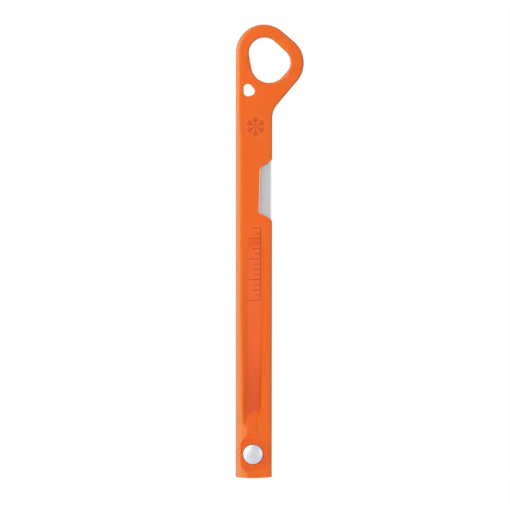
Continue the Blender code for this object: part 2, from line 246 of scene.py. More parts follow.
def fade(value, zero_at, one_at):
    """A smooth step from 0 to 1; zero_at may be the higher end."""
    t = np.clip((value - zero_at) / (one_at - zero_at), 0, 1)
    return t * t * (3 - 2 * t)


def mix(a, b, t):
    t = min(max(t, 0.0), 1.0)
    return tuple(p + (q - p) * t for p, q in zip(a, b))


def edge_drop(dist, sections):
    """How far the surface has fallen at a distance inside an edge, one section per point."""
    width, height, end, share, super_w, super_h, power, facet = sections.T
    end = np.radians(end)
    c = 1 - np.clip(dist / width, 0, 1) * (1 - np.cos(end))
    fall = height * (1 - np.sqrt(np.clip(1 - c * c, 0, 1)) / np.sin(end))
    drop = np.where(dist < width, fall, 0.0)
    x = 1 - np.clip(dist / super_w, 0, 1)
    full = super_h * (1 - np.clip(1 - x ** power, 0, 1) ** (1 / power))
    full = full + facet * np.clip(1 - dist / FACET_W, 0, 1)
    return drop * (1 - share) + full * share


def plain_sections(section, count):
    return np.tile(section + PLAIN, (count, 1))


def plain_drop(dist, section):
    return edge_drop(dist, plain_sections(section, len(dist)))


def ring_levels(count, section):
    """Distances inside an edge that split its rounding into equal angles."""
    width, _, end = section
    end = math.radians(end)
    return [width * (1 - math.cos(end * k / count)) / (1 - math.cos(end))
            for k in range(1, count + 1)]


def edge_rings(path, sections, count):
    """Rings of points across the rounding of an edge, and two beyond it."""
    points, normals = right_normals(path)
    width, share, super_w = sections[:, 0], sections[:, 3], sections[:, 4]
    levels = np.array([ring_levels(count, s[:3]) for s in sections])
    depths = [levels[:, k] * (1 - share) + share * super_w * ((k + 1) / count) ** 1.5
              for k in range(count)]
    depths += [width * (1 - share) + super_w * share + beyond for beyond in (0.12, 0.45)]
    return [points + normals * depth[:, None] for depth in depths]


# =========================================================================================
# plate meshes
# =========================================================================================
# vertex masks that place painted shade and painted light on the cover's colour
MASK_NAMES = ("recess", "recess_wall", "recess_edge", "window_edge", "spot_slope")
NO_MASKS = (0.0,) * len(MASK_NAMES)


class Shell:
    """A closed mesh in the making, with shading masks at its vertices."""

    def __init__(self):
        self.co, self.faces, self.mats, self.masks = [], [], [], []

    def add(self, x, y, z, masks=NO_MASKS):
        self.co.append((x, y, z))
        self.masks.append(masks)
        return len(self.co) - 1

    def face(self, corners, mat=0):
        corners = [v for i, v in enumerate(corners) if v != corners[i - 1]]
        if len(corners) > 2:
            self.faces.append(corners)
            self.mats.append(mat)

    def wall(self, columns, loop=True):
        """Quads between neighbouring columns of vertices."""
        following = columns[1:] + (columns[:1] if loop else [])
        for a, b in zip(columns, following):
            for k in range(len(a) - 1):
                self.face([a[k], b[k], b[k + 1], a[k + 1]])

    def build(self, name, materials, sharp):
        mesh = bpy.data.meshes.new(name)
        co = [Vector((x * MM, y * MM, z * MM)) + PIVOT for x, y, z in self.co]
        mesh.from_pydata(co, [], self.faces)
        mesh.polygons.foreach_set("material_index", self.mats)
        for k, key in enumerate(MASK_NAMES):
            attribute = mesh.attributes.new(key, "FLOAT", "POINT")
            attribute.data.foreach_set("value", [m[k] for m in self.masks])
        for material in materials:
            mesh.materials.append(material)
        obj = bpy.data.objects.new(name, mesh)
        bpy.context.scene.collection.objects.link(obj)
        bm = bmesh.new()
        bm.from_mesh(mesh)
        bmesh.ops.remove_doubles(bm, verts=bm.verts[:], dist=1e-8)
        bmesh.ops.recalc_face_normals(bm, faces=bm.faces[:])
        if not all(edge.is_manifold for edge in bm.edges):
            raise SystemExit(f"{name} has open edges")
        bm.to_mesh(mesh)
        bm.free()
        mesh.shade_smooth()
        mesh.set_sharp_from_angle(angle=math.radians(sharp))
        return obj


def triangulate(loops, points, creases):
    """Constrained Delaunay of a loop with holes (loops[1:]), loose points and crease lines.
    Returns the plane points, the triangles inside, and each loop's vertex numbers."""
    verts, edges, spans = [], [], []
    for loop in loops:
        s, n = len(verts), len(loop)
        verts += [tuple(p) for p in loop]
        edges += [(s + i, s + (i + 1) % n) for i in range(n)]
        spans.append((s, n))
    for crease in creases:
        s = len(verts)
        verts += [tuple(p) for p in crease]
        edges += [(s + i, s + i + 1) for i in range(len(crease) - 1)]
    verts += [tuple(p) for p in points]
    out, _, tris, origins, _, _ = delaunay_2d_cdt([Vector(v) for v in verts], edges, [], 0, 1e-7)
    new_of = {old: new for new, olds in enumerate(origins) for old in olds}
    plane = np.array([(v.x, v.y) for v in out])
    tris = np.array(tris)
    centres = plane[tris].mean(1)
    found = [[new_of[s + i] for i in range(n)] for s, n in spans]
    keep = inside(centres, plane[found[0]])
    for hole in found[1:]:
        keep &= ~inside(centres, plane[hole])
    return plane, tris[keep], found


def hex_grid(x0, x1, z0, z1, step):
    rows = []
    dz = step * math.sqrt(3) / 2
    for j in range(int((z1 - z0) / dz) + 1):
        xs = np.arange(x0 + (step / 2 if j % 2 else 0), x1, step)
        rows.append(np.stack([xs, np.full(len(xs), z0 + j * dz)], 1))
    return np.vstack(rows)


def thin_out(points, fixed, gap):
    """Drops the points that lie within gap of any fixed point."""
    tree = KDTree(len(fixed))
    for i, (x, z) in enumerate(fixed):
        tree.insert((x, z, 0), i)
    tree.balance()
    return points[np.array([tree.find((x, z, 0))[2] >= gap for x, z in points])]


# =========================================================================================
# the cover: outline
# =========================================================================================
SKIN = 0.03                               # how far the mould's witness line stands out
SKIN_LEVELS = (0.14, 0.06)                # heights off the mid-plane where the walls turn to it
SPINE_X_TOP, SPINE_X_END = -8.28, COVER_LO.x
MOUTH_X_TOP, MOUTH_X_END = 9.36, 9.12     # the open side's edge
END_CORNER_Z, END_Z = -11.0, COVER_LO.z
CORNER_CUT, CORNER_R = 0.6, 0.45          # the pivot end's corners
HEAD_A, HEAD_B = (5.24, 194.98, 13.52), (10.94, 189.90, 13.70)      # circles (x, z, radius)
NECK_ANGLE, NECK_R = -40.25, 10.1         # where the neck's hollow leaves the head, its radius
HALF_T_HEAD, HALF_T_PIVOT = 3.0, COVER_HI.y
SWELL_TOP_Z, SWELL_END_Z = 110.0, 25.0    # the cover thickens from the one down to the other
SPINE_EASED_Z = 135.0                     # above this the spine's rounding is the head's

# back edge, as the superellipse of an edge section: a facet beside the pivot, rounder up the
# slim body, narrow round the head
BACK_PIVOT, BACK_BODY, BACK_HEAD = (3.2, 2.0, 2.0, 2.0), (3.3, 2.9, 2.0, 0.0), (2.6, 2.1, 2.0, 0.0)
BACK_GROWTH = (1.3, 0.8)                  # added to the body's width and height low down
SPINE_AT_HEAD, SPINE_AT_PIVOT = (2.2, 2.3, 90.0), (5.5, 3.9, 68.0)
SPINE_TURN = 66.0                         # degrees of the head over which the spine's edge ends
HEAD_EDGE, MOUTH_EDGE = (1.3, 1.3, 90.0), (1.2, 1.0, 90.0)
END_EDGE, WINDOW_EDGE = (0.4, 0.4, 90.0), (0.5, 0.5, 90.0)
EYE_EDGE, CORD_EDGE = (1.0, 1.0, 90.0), (0.55, 0.55, 90.0)
EYE = ((5.56, 194.76, 7.52), (11.19, 190.25, 7.04), (7.79, 188.94, 8.74))
CORD_HOLE = ((-2.45, 177.67, 2.14), (-1.29, 176.21, 2.18), (-2.40, 175.73, 2.09))
EYE_COUNT, CORD_COUNT = 120, 56
BORE_R = 2.10
CHANNEL_HALF, CHANNEL_LEAD = 1.10, 0.22   # half the leaf's channel, and its lead-in
CHANNEL_LEFT_X, CHANNEL_TOP_Z = -5.60, 157.4

neck_nx, neck_nz = math.cos(math.radians(NECK_ANGLE)), math.sin(math.radians(NECK_ANGLE))
NECK_X = MOUTH_X_TOP + NECK_R
NECK_Z = (neck_nx * HEAD_B[0] + neck_nz * HEAD_B[1] + HEAD_B[2] + NECK_R
          - neck_nx * NECK_X) / neck_nz   # centre of the neck's hollow, where the side starts


def end_z(x):
    """The slightly curved pivot end, inside the witness line."""
    mid, half = (SPINE_X_END + MOUTH_X_END) / 2, (MOUTH_X_END - SPINE_X_END) / 2
    return END_Z + (END_CORNER_Z - END_Z) * ((x - mid) / half) ** 2 + SKIN


def spine_x(z):
    rise = (z - END_CORNER_Z) / (HEAD_A[1] - END_CORNER_Z)
    return SPINE_X_END + (SPINE_X_TOP - SPINE_X_END) * rise


def mouth_x(z):
    return (MOUTH_X_TOP
            + (MOUTH_X_END - MOUTH_X_TOP) * (NECK_Z - z) / (NECK_Z - END_CORNER_Z))


def rim_point(z):
    """A point on the open side, inside the witness line."""
    return mouth_x(z) - SKIN, z


def spine_section(z):
    ellipse = mix(SPINE_AT_PIVOT, SPINE_AT_HEAD,
                  (z - SWELL_END_Z) / (SPINE_EASED_Z - SWELL_END_Z))
    grown = fade(z, 88.0, 20.0)
    body = (BACK_BODY[0] + BACK_GROWTH[0] * grown,
            BACK_BODY[1] + BACK_GROWTH[1] * grown) + BACK_BODY[2:]
    back = mix(BACK_PIVOT, body, fade(z, 13.0, 23.0))
    return ellipse + (1.0,) + mix(back, BACK_HEAD, fade(z, 149.0, 169.0))


def outer_edge():
    """(x, z, section) of the outer edge but the pivot end: spine, head, neck, open side."""
    ax, az, ar = HEAD_A
    bx, bz, br = HEAD_B
    gap = math.hypot(bx - ax, bz - az)
    tangent = math.degrees(math.atan2(bz - az, bx - ax) + math.acos((ar - br) / gap))
    heights = list(np.arange(-11.6, 116.0, 1.0)) + list(np.arange(116.4, az - 1.0, 2.0))
    out = [(spine_x(z), z, spine_section(z)) for z in heights]
    for x, z in arc(ax, az, ar, 180.0, tangent, 3.0):
        turned = (180.0 - math.degrees(math.atan2(z - az, x - ax)) % 360) / SPINE_TURN
        share = 1 - fade(turned, 0.0, 1.0)
        out.append((x, z, mix(SPINE_AT_HEAD, HEAD_EDGE, turned) + (share,) + BACK_HEAD))
    crown = arc(bx, bz, br, tangent, NECK_ANGLE, 3.0)
    hollow = arc(NECK_X, NECK_Z, NECK_R, NECK_ANGLE + 180.0, 180.0, 4.0)
    head = line(out[-1][:2], crown[0], 1.5)[1:-1] + crown
    head += line(crown[-1], hollow[0], 1.5)[1:-1]
    out += [(x, z, HEAD_EDGE + PLAIN) for x, z in head]
    for i, (x, z) in enumerate(hollow):
        out.append((x, z, mix(HEAD_EDGE, MOUTH_EDGE, i / (len(hollow) - 1)) + PLAIN))
    for z in list(np.arange(NECK_Z - 1.0, -11.0, -1.5)) + [-11.6]:
        out.append((mouth_x(z), z, MOUTH_EDGE + PLAIN))
    return out


edge_points = outer_edge()
EDGE = inward([(x, z) for x, z, _ in edge_points], SKIN)
EDGE_SECTIONS = np.array([section for _, _, section in edge_points], float)
# the spine's last point, on the head
SPINE_END = next(i for i, (_, _, section) in enumerate(edge_points) if section[:3] == HEAD_EDGE)

# window in the open side, where the leaf stands free
WINDOW = np.array(resample(rounded(
    [rim_point(147.0), rim_point(143.1), (7.6, 141.45), (4.52, 139.85), (3.72, 137.4),
     (3.18, 118.7), (3.50, 117.15), (5.9, 115.60), (8.0, 114.65), rim_point(113.2),
     rim_point(109.0)],
    [0.9, 1.8, 1.3, 2.0, 1.2, 1.6, 2.5, 2.5, 1.2], 8.0), 1.5))
# floor of the leaf's channel, from the pivot end up and out to the open side
FLOOR = np.array(resample(rounded(
    [(CHANNEL_LEFT_X, end_z(CHANNEL_LEFT_X)), (CHANNEL_LEFT_X, 65.3), (-1.60, 69.4),
     (-1.60, 142.6), (-2.60, 146.2), (-2.60, 158.4), (1.2, 163.2), (6.9, 163.2),
     rim_point(CHANNEL_TOP_Z)],
    [3.0, 2.0, 6.0, 6.0, 3.0, 3.0, 4.0], 10.0), 2.5))


def pivot_end():
    """The pivot end from the open side to the spine, with its rounded corners."""
    right, left = MOUTH_X_END - SKIN, SPINE_X_END + SKIN
    corner_z = END_CORNER_Z + CORNER_CUT
    right_corner = rounded([(right, corner_z), (right, end_z(right)),
                            (right - CORNER_CUT, end_z(right - CORNER_CUT))], [CORNER_R], 15)
    left_corner = rounded([(left + CORNER_CUT, end_z(left + CORNER_CUT)), (left, end_z(left)),
                           (left, corner_z)], [CORNER_R], 15)
    xs = np.concatenate([np.arange(left + 0.5, -2.4, 0.28), np.arange(-2.4, right - 0.5, 1.0)])
    xs = sorted(set([round(x, 3) for x in xs] + [CHANNEL_LEFT_X]))
    xs = [x for x in xs if abs(x - CHANNEL_LEFT_X) > 0.1 or x == CHANNEL_LEFT_X]
    bottom = [(x, end_z(x)) for x in reversed(xs) if left + 0.62 < x < right - 0.62]
    return right_corner + bottom + left_corner


def cover_outline(bottom):
    """Closed outline, and the numbers of the points where its channelled part starts and stops."""
    body = [tuple(p) for p in EDGE]
    half = len(body) // 2
    corner_z = END_CORNER_Z + CORNER_CUT
    window_top, window_end = WINDOW[1][1], WINDOW[-2][1]
    left = [p for p in body[:half] if p[1] > corner_z]
    upper = [p for p in body[half:] if p[1] > CHANNEL_TOP_Z + 0.5]
    middle = [p for p in body[half:] if window_top + 0.6 < p[1] < CHANNEL_TOP_Z - 0.5]
    lower = [p for p in body[half:] if corner_z < p[1] < window_end - 0.6]
    window = [tuple(p) for p in WINDOW[1:-1]]
    channel_top = rim_point(CHANNEL_TOP_Z)
    loop = without_repeats(
        left + upper + [channel_top] + middle + window + lower + bottom, 1e-3)

    def number_of(place):
        return min(range(len(loop)), key=lambda i: math.dist(loop[i], place))

    return loop, number_of(channel_top), number_of((CHANNEL_LEFT_X, end_z(CHANNEL_LEFT_X)))


BOTTOM = pivot_end()
OUTLINE, OPEN_START, OPEN_STOP = cover_outline(BOTTOM)
BOTTOM = np.array(BOTTOM)
OUTLINE_LOOP = np.array(OUTLINE)
OUTLINE_CLOSED = closed(OUTLINE_LOOP)
EYE_RING = hull_of_circles(EYE, EYE_COUNT)
CORD_RING = hull_of_circles(CORD_HOLE, CORD_COUNT)
BORE_RING = np.array(circle(BORE_R, 48))


# =========================================================================================
# the cover: engraved marks
# =========================================================================================
MARK_DEPTH, MARK_BANK = 0.16, 0.07        # depth of a stroke, width of its sloping bank
TICK_X, TICK_Z, TICK_PITCH = 3.35, 74.8, 2.5


def tick_scale():
    """A plain length scale: a fine tick each 2.5 mm, a longer one each 5 and 10 mm, and a rail."""
    strokes = []
    for i in range(15):
        z = TICK_Z + TICK_PITCH * i
        reach = 5.2 if i % 4 == 0 else 3.4 if i % 2 == 0 else 2.1
        strokes.append((TICK_X - reach, z, TICK_X, z, 0.34))
    strokes.append((TICK_X + 0.42, 74.65, TICK_X + 0.42, 109.95, 0.30))
    return strokes


def ice_crystal(cx, cz, size):
    """A plain six-armed ice crystal; its strokes stop short of one another."""
    strokes = []
    for k in range(6):
        a = math.radians(90 + 60 * k)
        ux, uz = math.cos(a), math.sin(a)
        strokes.append((cx + ux * 0.62, cz + uz * 0.62, cx + ux * size, cz + uz * size, 0.36))
        for at, barb in ((0.52, 1.25), (0.78, 0.95)):     # place along the arm, length
            for turn in (50, -50):
                b = a + math.radians(turn)
                px, pz = cx + ux * size * at, cz + uz * size * at
                sx, sz = math.cos(b), math.sin(b)
                strokes.append((px + sx * 0.46, pz + sz * 0.46,
                                px + sx * (0.46 + barb), pz + sz * (0.46 + barb), 0.30))
    return strokes


MARKS = tick_scale() + ice_crystal(1.35, 159.0, 4.3)      # (x0, z0, x1, z1, width)


def near_marks(points):
    """For each mark: the points near it, their distance from its middle, and its width."""
    x, z = points.T
    for x0, z0, x1, z1, width in MARKS:
        near = np.where((x > min(x0, x1) - 1) & (x < max(x0, x1) + 1)
                        & (z > min(z0, z1) - 1) & (z < max(z0, z1) + 1))[0]
        yield near, distance(points[near], np.array([(x0, z0), (x1, z1)])), width


def mark_depth(points):
    out = np.zeros(len(points))
    for near, gap, width in near_marks(points):
        depth = MARK_DEPTH * np.clip((width / 2 - gap) / MARK_BANK, 0, 1)
        out[near] = np.maximum(out[near], depth)
    return out


def stroke_outline(x0, z0, x1, z1, width, inset):
    """The closed, round-ended outline of a stroke."""
    radius = width / 2 - inset
    a = math.atan2(z1 - z0, x1 - x0)
    out = []
    for cx, cz, start in ((x1, z1, a - math.pi / 2), (x0, z0, a + math.pi / 2)):
        for k in range(6):
            t = start + math.pi * k / 5
            out.append((cx + radius * math.cos(t), cz + radius * math.sin(t)))
    return out + out[:1]


# =========================================================================================
# the cover: height of its face
# =========================================================================================
# grip recess walls: (a point of the wall's foot, its outward direction, its slope)
RECESS = [
    ((3.75, 26.5), (0.99979, -0.0205), 9.0),         # open side
    ((3.42, 21.9), (0.9375, -0.348), 1.3),           # slanting, beside the ramp
    ((-1.43, 20.0), (0.400, -0.9165), 0.27),         # shallow ramp at the end
    ((0.0, 108.5), (0.0, 1.0), 0.30),                # run-out at the top
]
RECESS_FOOT_X, RECESS_WALL = -2.55, 2.30             # the spine side's wall: its foot and width
RECESS_LIMIT_Z = 116
PAD_R, PAD_HALF_T, PAD_STRETCH = 7.9, 3.05, 0.75     # spot face; it widens to the open side
GROOVE_RADII = (4.70, 4.73, 4.76, 4.96, 4.99, 5.02)  # across the groove round the rivet's head
GROOVE_DEPTH = 0.30
LEAST_HALF_T = 0.35                                  # edges fall no lower than this


def face_level(z):
    t = (SWELL_TOP_Z - z) / (SWELL_TOP_Z - SWELL_END_Z)
    t = np.clip(smin(smax(t, 0.0, 0.07), 1.0, 0.07), 0, 1)
    return HALF_T_HEAD + (HALF_T_PIVOT - HALF_T_HEAD) * t


def past_walls(x, z, walls):
    """How far each place lies beyond the foot of each wall."""
    return [(x - px) * nx + (z - pz) * nz for (px, pz), (nx, nz), _ in walls]


def cut_recess(points, before, masks):
    """Sinks the grip recess and fills its masks."""
    x, z = points.T
    level = face_level(z)
    bottom = 3.0 - 0.40 * fade(z, 60.0, 22.0)
    depth = level - bottom
    slope = np.clip(depth / RECESS_WALL, 0.04, None)
    recess = smax(bottom, bottom + slope * (RECESS_FOOT_X - x), 0.14)
    for past, (_, _, slope) in zip(past_walls(x, z, RECESS), RECESS):
        recess = smax(recess, bottom + slope * past, 0.10)
    # the rim is rounder on the spine's side, and sharpens towards the pivot
    rim = np.clip(depth, 0.02, None)
    blend = np.clip(0.40 * rim + (0.16 * rim - 0.40 * rim) * fade(x, -3.2, -0.8), 0.02, 0.60)
    blend = blend * (0.2 + 0.8 * fade(z, 13.5, 19.5))
    height = smin(before, recess, blend)

    # masks: 0 painted shade on the floor and ramp, full on the deep floor; 1 painted shade on the
    # side walls; 2 the open side's wall with its rounded edges, kept free of the painted edge
    # highlight
    sunk = before - height
    past = np.max(past_walls(x, z, RECESS[:2]), axis=0)
    flat = fade(x - RECESS_FOOT_X, -0.2, 0.2) * fade(past, 0.05, -0.07)
    deep_shade = fade(height - bottom, 0.45, 0.0) * (0.75 + 0.25 * fade(z, 19.0, 22.0))
    masks[:, 0] = fade(sunk, 0.02, 0.18) * flat * (0.5 + 0.5 * deep_shade)
    right = x > 0
    foot = fade(z, 24.0, 22.0)
    right_wall = fade(sunk, 0.01, 0.11) * (1 - 0.6 * foot)
    masks[:, 1] = np.where(right, right_wall, fade(sunk, 0.05, 0.35)) * (1 - flat)
    masks[:, 2] = (right * fade(past, -0.30, -0.15) * fade(past - 1.1 * foot, 0.75, 0.55)
                   * fade(depth, 0.05, 0.20) * fade(z, 12.5, 14.0))
    return height


def cut_spot_face(x, z, height, masks):
    """Sinks the rivet's spot face, running out past the open side, and the groove in it."""
    radius = np.hypot(np.where(x > 0, x * PAD_STRETCH, x), z)
    slope = 0.80 - 0.64 * fade(x, -3.6, 2.9)
    pad = smax(PAD_HALF_T, PAD_HALF_T + (radius - PAD_R) * slope, 0.20)
    before = height.copy()
    near = radius < PAD_R + 8
    height[near] = smin(height[near], pad[near], 0.30)
    past = radius - PAD_R
    # the spot face takes a share of the recess's painted shade
    masks[:, 0] = np.maximum(masks[:, 0], 0.30 * fade(past, 0.5, -0.4))
    # mask 4: where light is painted on the slope down to the spot face, on the side towards the
    # recess
    masks[:, 4] = (fade(before - height, 0.02, 0.14) * fade(past, -0.5, 0.4)
                   * fade(z, 0.0, 4.0) * fade(x, -5.5, -3.5) * fade(x, 3.5, -2.0))
    radius = np.hypot(x, z)
    height -= (GROOVE_DEPTH * fade(radius, GROOVE_RADII[0], GROOVE_RADII[2])
               * fade(radius, GROOVE_RADII[5], GROOVE_RADII[3]))


def cover_height(points):
    """Height of the cover's face off the mid-plane, and its shading masks."""
    x, z = points[:, 0], points[:, 1]
    masks = np.zeros((len(points), len(MASK_NAMES)))
    # the open side's strip is crowned where the recess leaves it standing
    crown = (0.022 * (np.clip(x, 3.8, 9.0) - 6.4) ** 2 * (x > 3.8)
             * fade(z, 112.0, 100.0) * fade(z, 12.0, 22.0))
    dist, sections = nearest(points, EDGE[:SPINE_END + 1], EDGE_SECTIONS[:SPINE_END + 1])
    height = face_level(z) - crown - edge_drop(dist, sections)
    low = z < RECESS_LIMIT_Z
    low_masks = masks[low]
    height[low] = cut_recess(points[low], height[low], low_masks)
    masks[low] = low_masks
    cut_spot_face(x, z, height, masks)

    # the remaining edges fall from whatever surface they meet
    drop = edge_drop(*nearest(points, EDGE[SPINE_END:], EDGE_SECTIONS[SPINE_END:]))
    for path, section in ((BOTTOM, END_EDGE), (closed(EYE_RING), EYE_EDGE),
                          (closed(CORD_RING), CORD_EDGE)):
        drop = np.maximum(drop, plain_drop(distance(points, path), section))
    dist = distance(points, WINDOW)
    drop = np.maximum(drop, plain_drop(dist, WINDOW_EDGE))
    # mask 3: the window's upright edge, where a highlight is painted
    masks[:, 3] = fade(dist, 0.46, 0.32) * fade(z, 140.0, 138.0) * fade(z, 115.5, 117.5)
    drop = np.maximum(drop, 0.0)
    return np.maximum(height - drop, np.minimum(height, LEAST_HALF_T)), masks


# =========================================================================================
# the cover: mesh
# =========================================================================================
# bands of points along creases: (polyline, offsets to either side, step)
BANDS = [
    # the spine side's wall: its upper part and its foot
    ([(-4.7, 108.0), (-4.7, 14.0)], (-1.1, -0.8, -0.5, -0.25, 0.0, 0.25, 0.5, 0.8, 1.1), 0.6),
    ([(RECESS_FOOT_X, 108.0), (RECESS_FOOT_X, 14.5)],
     (-0.5, -0.3, -0.15, 0.0, 0.15, 0.3, 0.5), 0.6),
    # the open side's wall
    ([(3.67, 22.6), (3.75, 26.5), (5.42, 108.0)],
     (-0.16, -0.10, -0.05, 0.0, 0.04, 0.08, 0.12, 0.16, 0.20, 0.25, 0.31, 0.40), 0.35),
    # the slanting wall beside the ramp
    ([(0.3, 13.4), (0.75, 14.7), (3.67, 22.6)],
     (-0.2, -0.1, 0.0, 0.08, 0.16, 0.24, 0.32, 0.4, 0.48, 0.56, 0.66, 0.78, 0.92, 1.08), 0.30),
    # the ramp's foot
    ([(3.2, 22.02), (-2.6, 19.49)], (-0.5, -0.25, 0.0, 0.25, 0.5), 0.35),
]
PAD_RING_RADII = (7.0, 7.3, 7.6, 7.8, 8.0, 8.2, 8.4, 8.6, 8.8, 9.0, 9.2, 9.4, 9.7, 10.0)
# finer fields where the face is curved: (x0, x1, z0, z1, step)
FINE_FIELDS = [
    (-7.9, -2.2, -10.9, 30.0, 0.32),      # the spine's slope near the pivot
    (-7.9, -2.6, 30.0, 112.0, 0.55),      # the same, further up
    (-3.0, 4.5, 12.5, 24.0, 0.4),         # the recess's ramp
    (4.4, 8.9, 10.0, 112.0, 0.7),         # the open side's strip
    (-7.95, -4.4, 112.0, 206.0, 0.5),     # the upper spine
]


def within_outline(points, margin):
    points = points[inside(points, OUTLINE_LOOP)]
    return points[distance(points, OUTLINE_CLOSED) > margin]


def points_on_edges():
    rings = [ring[12:-2] for ring in edge_rings(EDGE, EDGE_SECTIONS, 9)]
    for path, section in ((BOTTOM, END_EDGE), (WINDOW[1:-1], WINDOW_EDGE)):
        rings += edge_rings(path, plain_sections(section, len(path)), 5)
    for circles, count, section in ((EYE, EYE_COUNT, EYE_EDGE),
                                    (CORD_HOLE, CORD_COUNT, CORD_EDGE)):
        for grow in ring_levels(6, section) + [section[0] + 0.12, section[0] + 0.5]:
            rings.append(hull_of_circles(circles, count, grow))
    points = within_outline(np.vstack(rings), 0.004)
    points = points[~inside(points, EYE_RING) & ~inside(points, CORD_RING)]
    for path in (BOTTOM, WINDOW):
        points = points[distance(points, path) > 0.004]
    return points


def points_on_creases():
    facet = inward(EDGE[:40], FACET_W)
    facet = [tuple(p) for p in facet[(facet[:, 1] > -11.0) & (facet[:, 1] < 22.0)]]
    facet_band = (facet, (-0.3, -0.15, -0.06, 0.0, 0.06, 0.15, 0.3), 0.5)
    rows = []
    for path, offsets, step in [facet_band] + BANDS:
        points = np.array(resample(path, step))
        tangents = np.gradient(points, axis=0)
        tangents /= np.maximum(np.linalg.norm(tangents, axis=1)[:, None], 1e-9)
        normals = np.stack([tangents[:, 1], -tangents[:, 0]], 1)
        rows += [points + normals * offset for offset in offsets]
    rows += [np.array(circle(radius, 150)) for radius in GROOVE_RADII]
    for radius in PAD_RING_RADII:
        ring = np.array(circle(radius, 150))
        ring[:, 0] = np.where(ring[:, 0] > 0, ring[:, 0] / PAD_STRETCH, ring[:, 0])
        rows.append(ring)
    return within_outline(np.vstack(rows), 0.05)


def cover_points():
    """Loose points of the face: rings along edges, bands along creases, fields between."""
    on_edges = points_on_edges()
    fixed = np.vstack([on_edges, thin_out(points_on_creases(), on_edges, 0.05)])
    fine = within_outline(np.vstack([hex_grid(*field) for field in FINE_FIELDS]), 0.12)
    fixed = np.vstack([fixed, thin_out(fine, fixed, 0.16)])
    coarse = within_outline(hex_grid(-8.0, 24.5, -11.4, 208.0, 1.5), 0.7)
    coarse = coarse[~inside(coarse, hull_of_circles(EYE, 60, 1.9))
                    & ~inside(coarse, hull_of_circles(CORD_HOLE, 40, 1.2))]
    return np.vstack([fixed, thin_out(coarse, fixed, 0.6)])


def cover_face():
    """The face's points, triangles, loops, heights, masks, and which triangles are engraved."""
    loose = cover_points()
    loose = loose[np.hypot(loose[:, 0], loose[:, 1]) > BORE_R + 0.15]
    clear = np.ones(len(loose), bool)
    for near, gap, width in near_marks(loose):
        clear[near[gap < width / 2 + 0.08]] = False
    strokes = [stroke_outline(*mark, inset) for mark in MARKS for inset in (0.0, MARK_BANK)]
    points, tris, loops = triangulate([OUTLINE, EYE_RING, CORD_RING, BORE_RING],
                                      loose[clear], strokes)
    heights, masks = cover_height(points)
    engraved = np.zeros(len(tris), bool)
    for near, gap, width in near_marks(points[tris].mean(1)):
        engraved[near[gap < width / 2 - 0.015]] = True
    return points, tris, loops, heights - mark_depth(points), masks, engraved


def channel_face(open_points, floor):
    """The channel's side: between the open stretch of the outline and the channel's floor."""
    open_line = np.array(open_points)
    loop = np.array(open_points + floor)
    field = hex_grid(-5.4, 9.0, -11.2, 162.5, 2.2)
    field = field[inside(field, loop)]
    field = field[(distance(field, closed(loop)) > 0.9)
                  & (np.hypot(field[:, 0], field[:, 1]) > 3.0)]
    lead_in = []
    for depth in (0.07, 0.15, CHANNEL_LEAD, CHANNEL_LEAD + 0.12):
        ring = inward(open_line, depth)[1:-1]
        ring = ring[inside(ring, loop)]
        lead_in.append(ring[distance(ring, open_line) > depth * 0.8])
    lead_in = np.vstack(lead_in)
    lead_in = lead_in[distance(lead_in, FLOOR) > 0.05]
    points, tris, loops = triangulate([open_points + floor, BORE_RING],
                                      np.vstack([field, lead_in]), [])
    t = np.clip(distance(points, open_line) / CHANNEL_LEAD, 0, 1)
    rounding = 1 - np.sqrt(np.clip(1 - (1 - t) ** 2, 0, 1))
    return points, tris, loops, CHANNEL_HALF + CHANNEL_LEAD * rounding


def outline_column(shell, side, i, top, height, channel):
    """Vertices from the face down to the channel's edge or to the witness line."""
    x, z = OUTLINE[i]
    if i in (OPEN_START, OPEN_STOP):
        return [top, channel[i], shell.add(x, 0.0, z)]
    if i in channel:
        return [top, channel[i]]
    before, after = np.array(OUTLINE[i - 1]), np.array(OUTLINE[(i + 1) % len(OUTLINE)])
    tangent = (after - before) / np.linalg.norm(after - before)
    column = [top]
    for y in SKIN_LEVELS:
        if y < height - 0.02:
            column.append(shell.add(x, side * y, z))
    column.append(shell.add(x - tangent[1] * SKIN, 0.0, z + tangent[0] * SKIN))
    return column


def outline_wall(shell, columns, open_starts):
    count = len(columns)
    ends = (OPEN_START, OPEN_STOP)
    for i in range(count):
        j = (i + 1) % count
        a, b = columns[i], columns[j]
        if i in open_starts:
            shell.wall([a[:2], b[:2]], loop=False)
        elif len(a) == len(b) and i not in ends and j not in ends:
            shell.wall([a, b], loop=False)
        else:
            shell.face(a + list(reversed(b)))


def hole_wall(shell, side, tops, ring):
    """Wall of a hole out to the mid-plane, with its own fine witness line."""
    centre = ring.mean(0)
    columns = []
    for top, (x, z) in zip(tops, ring):
        ux, uz = centre[0] - x, centre[1] - z
        size = math.hypot(ux, uz)
        column = [top] + [shell.add(x, side * y, z) for y in SKIN_LEVELS]
        column.append(shell.add(x + ux / size * SKIN, 0.0, z + uz / size * SKIN))
        columns.append(column)
    shell.wall(columns)


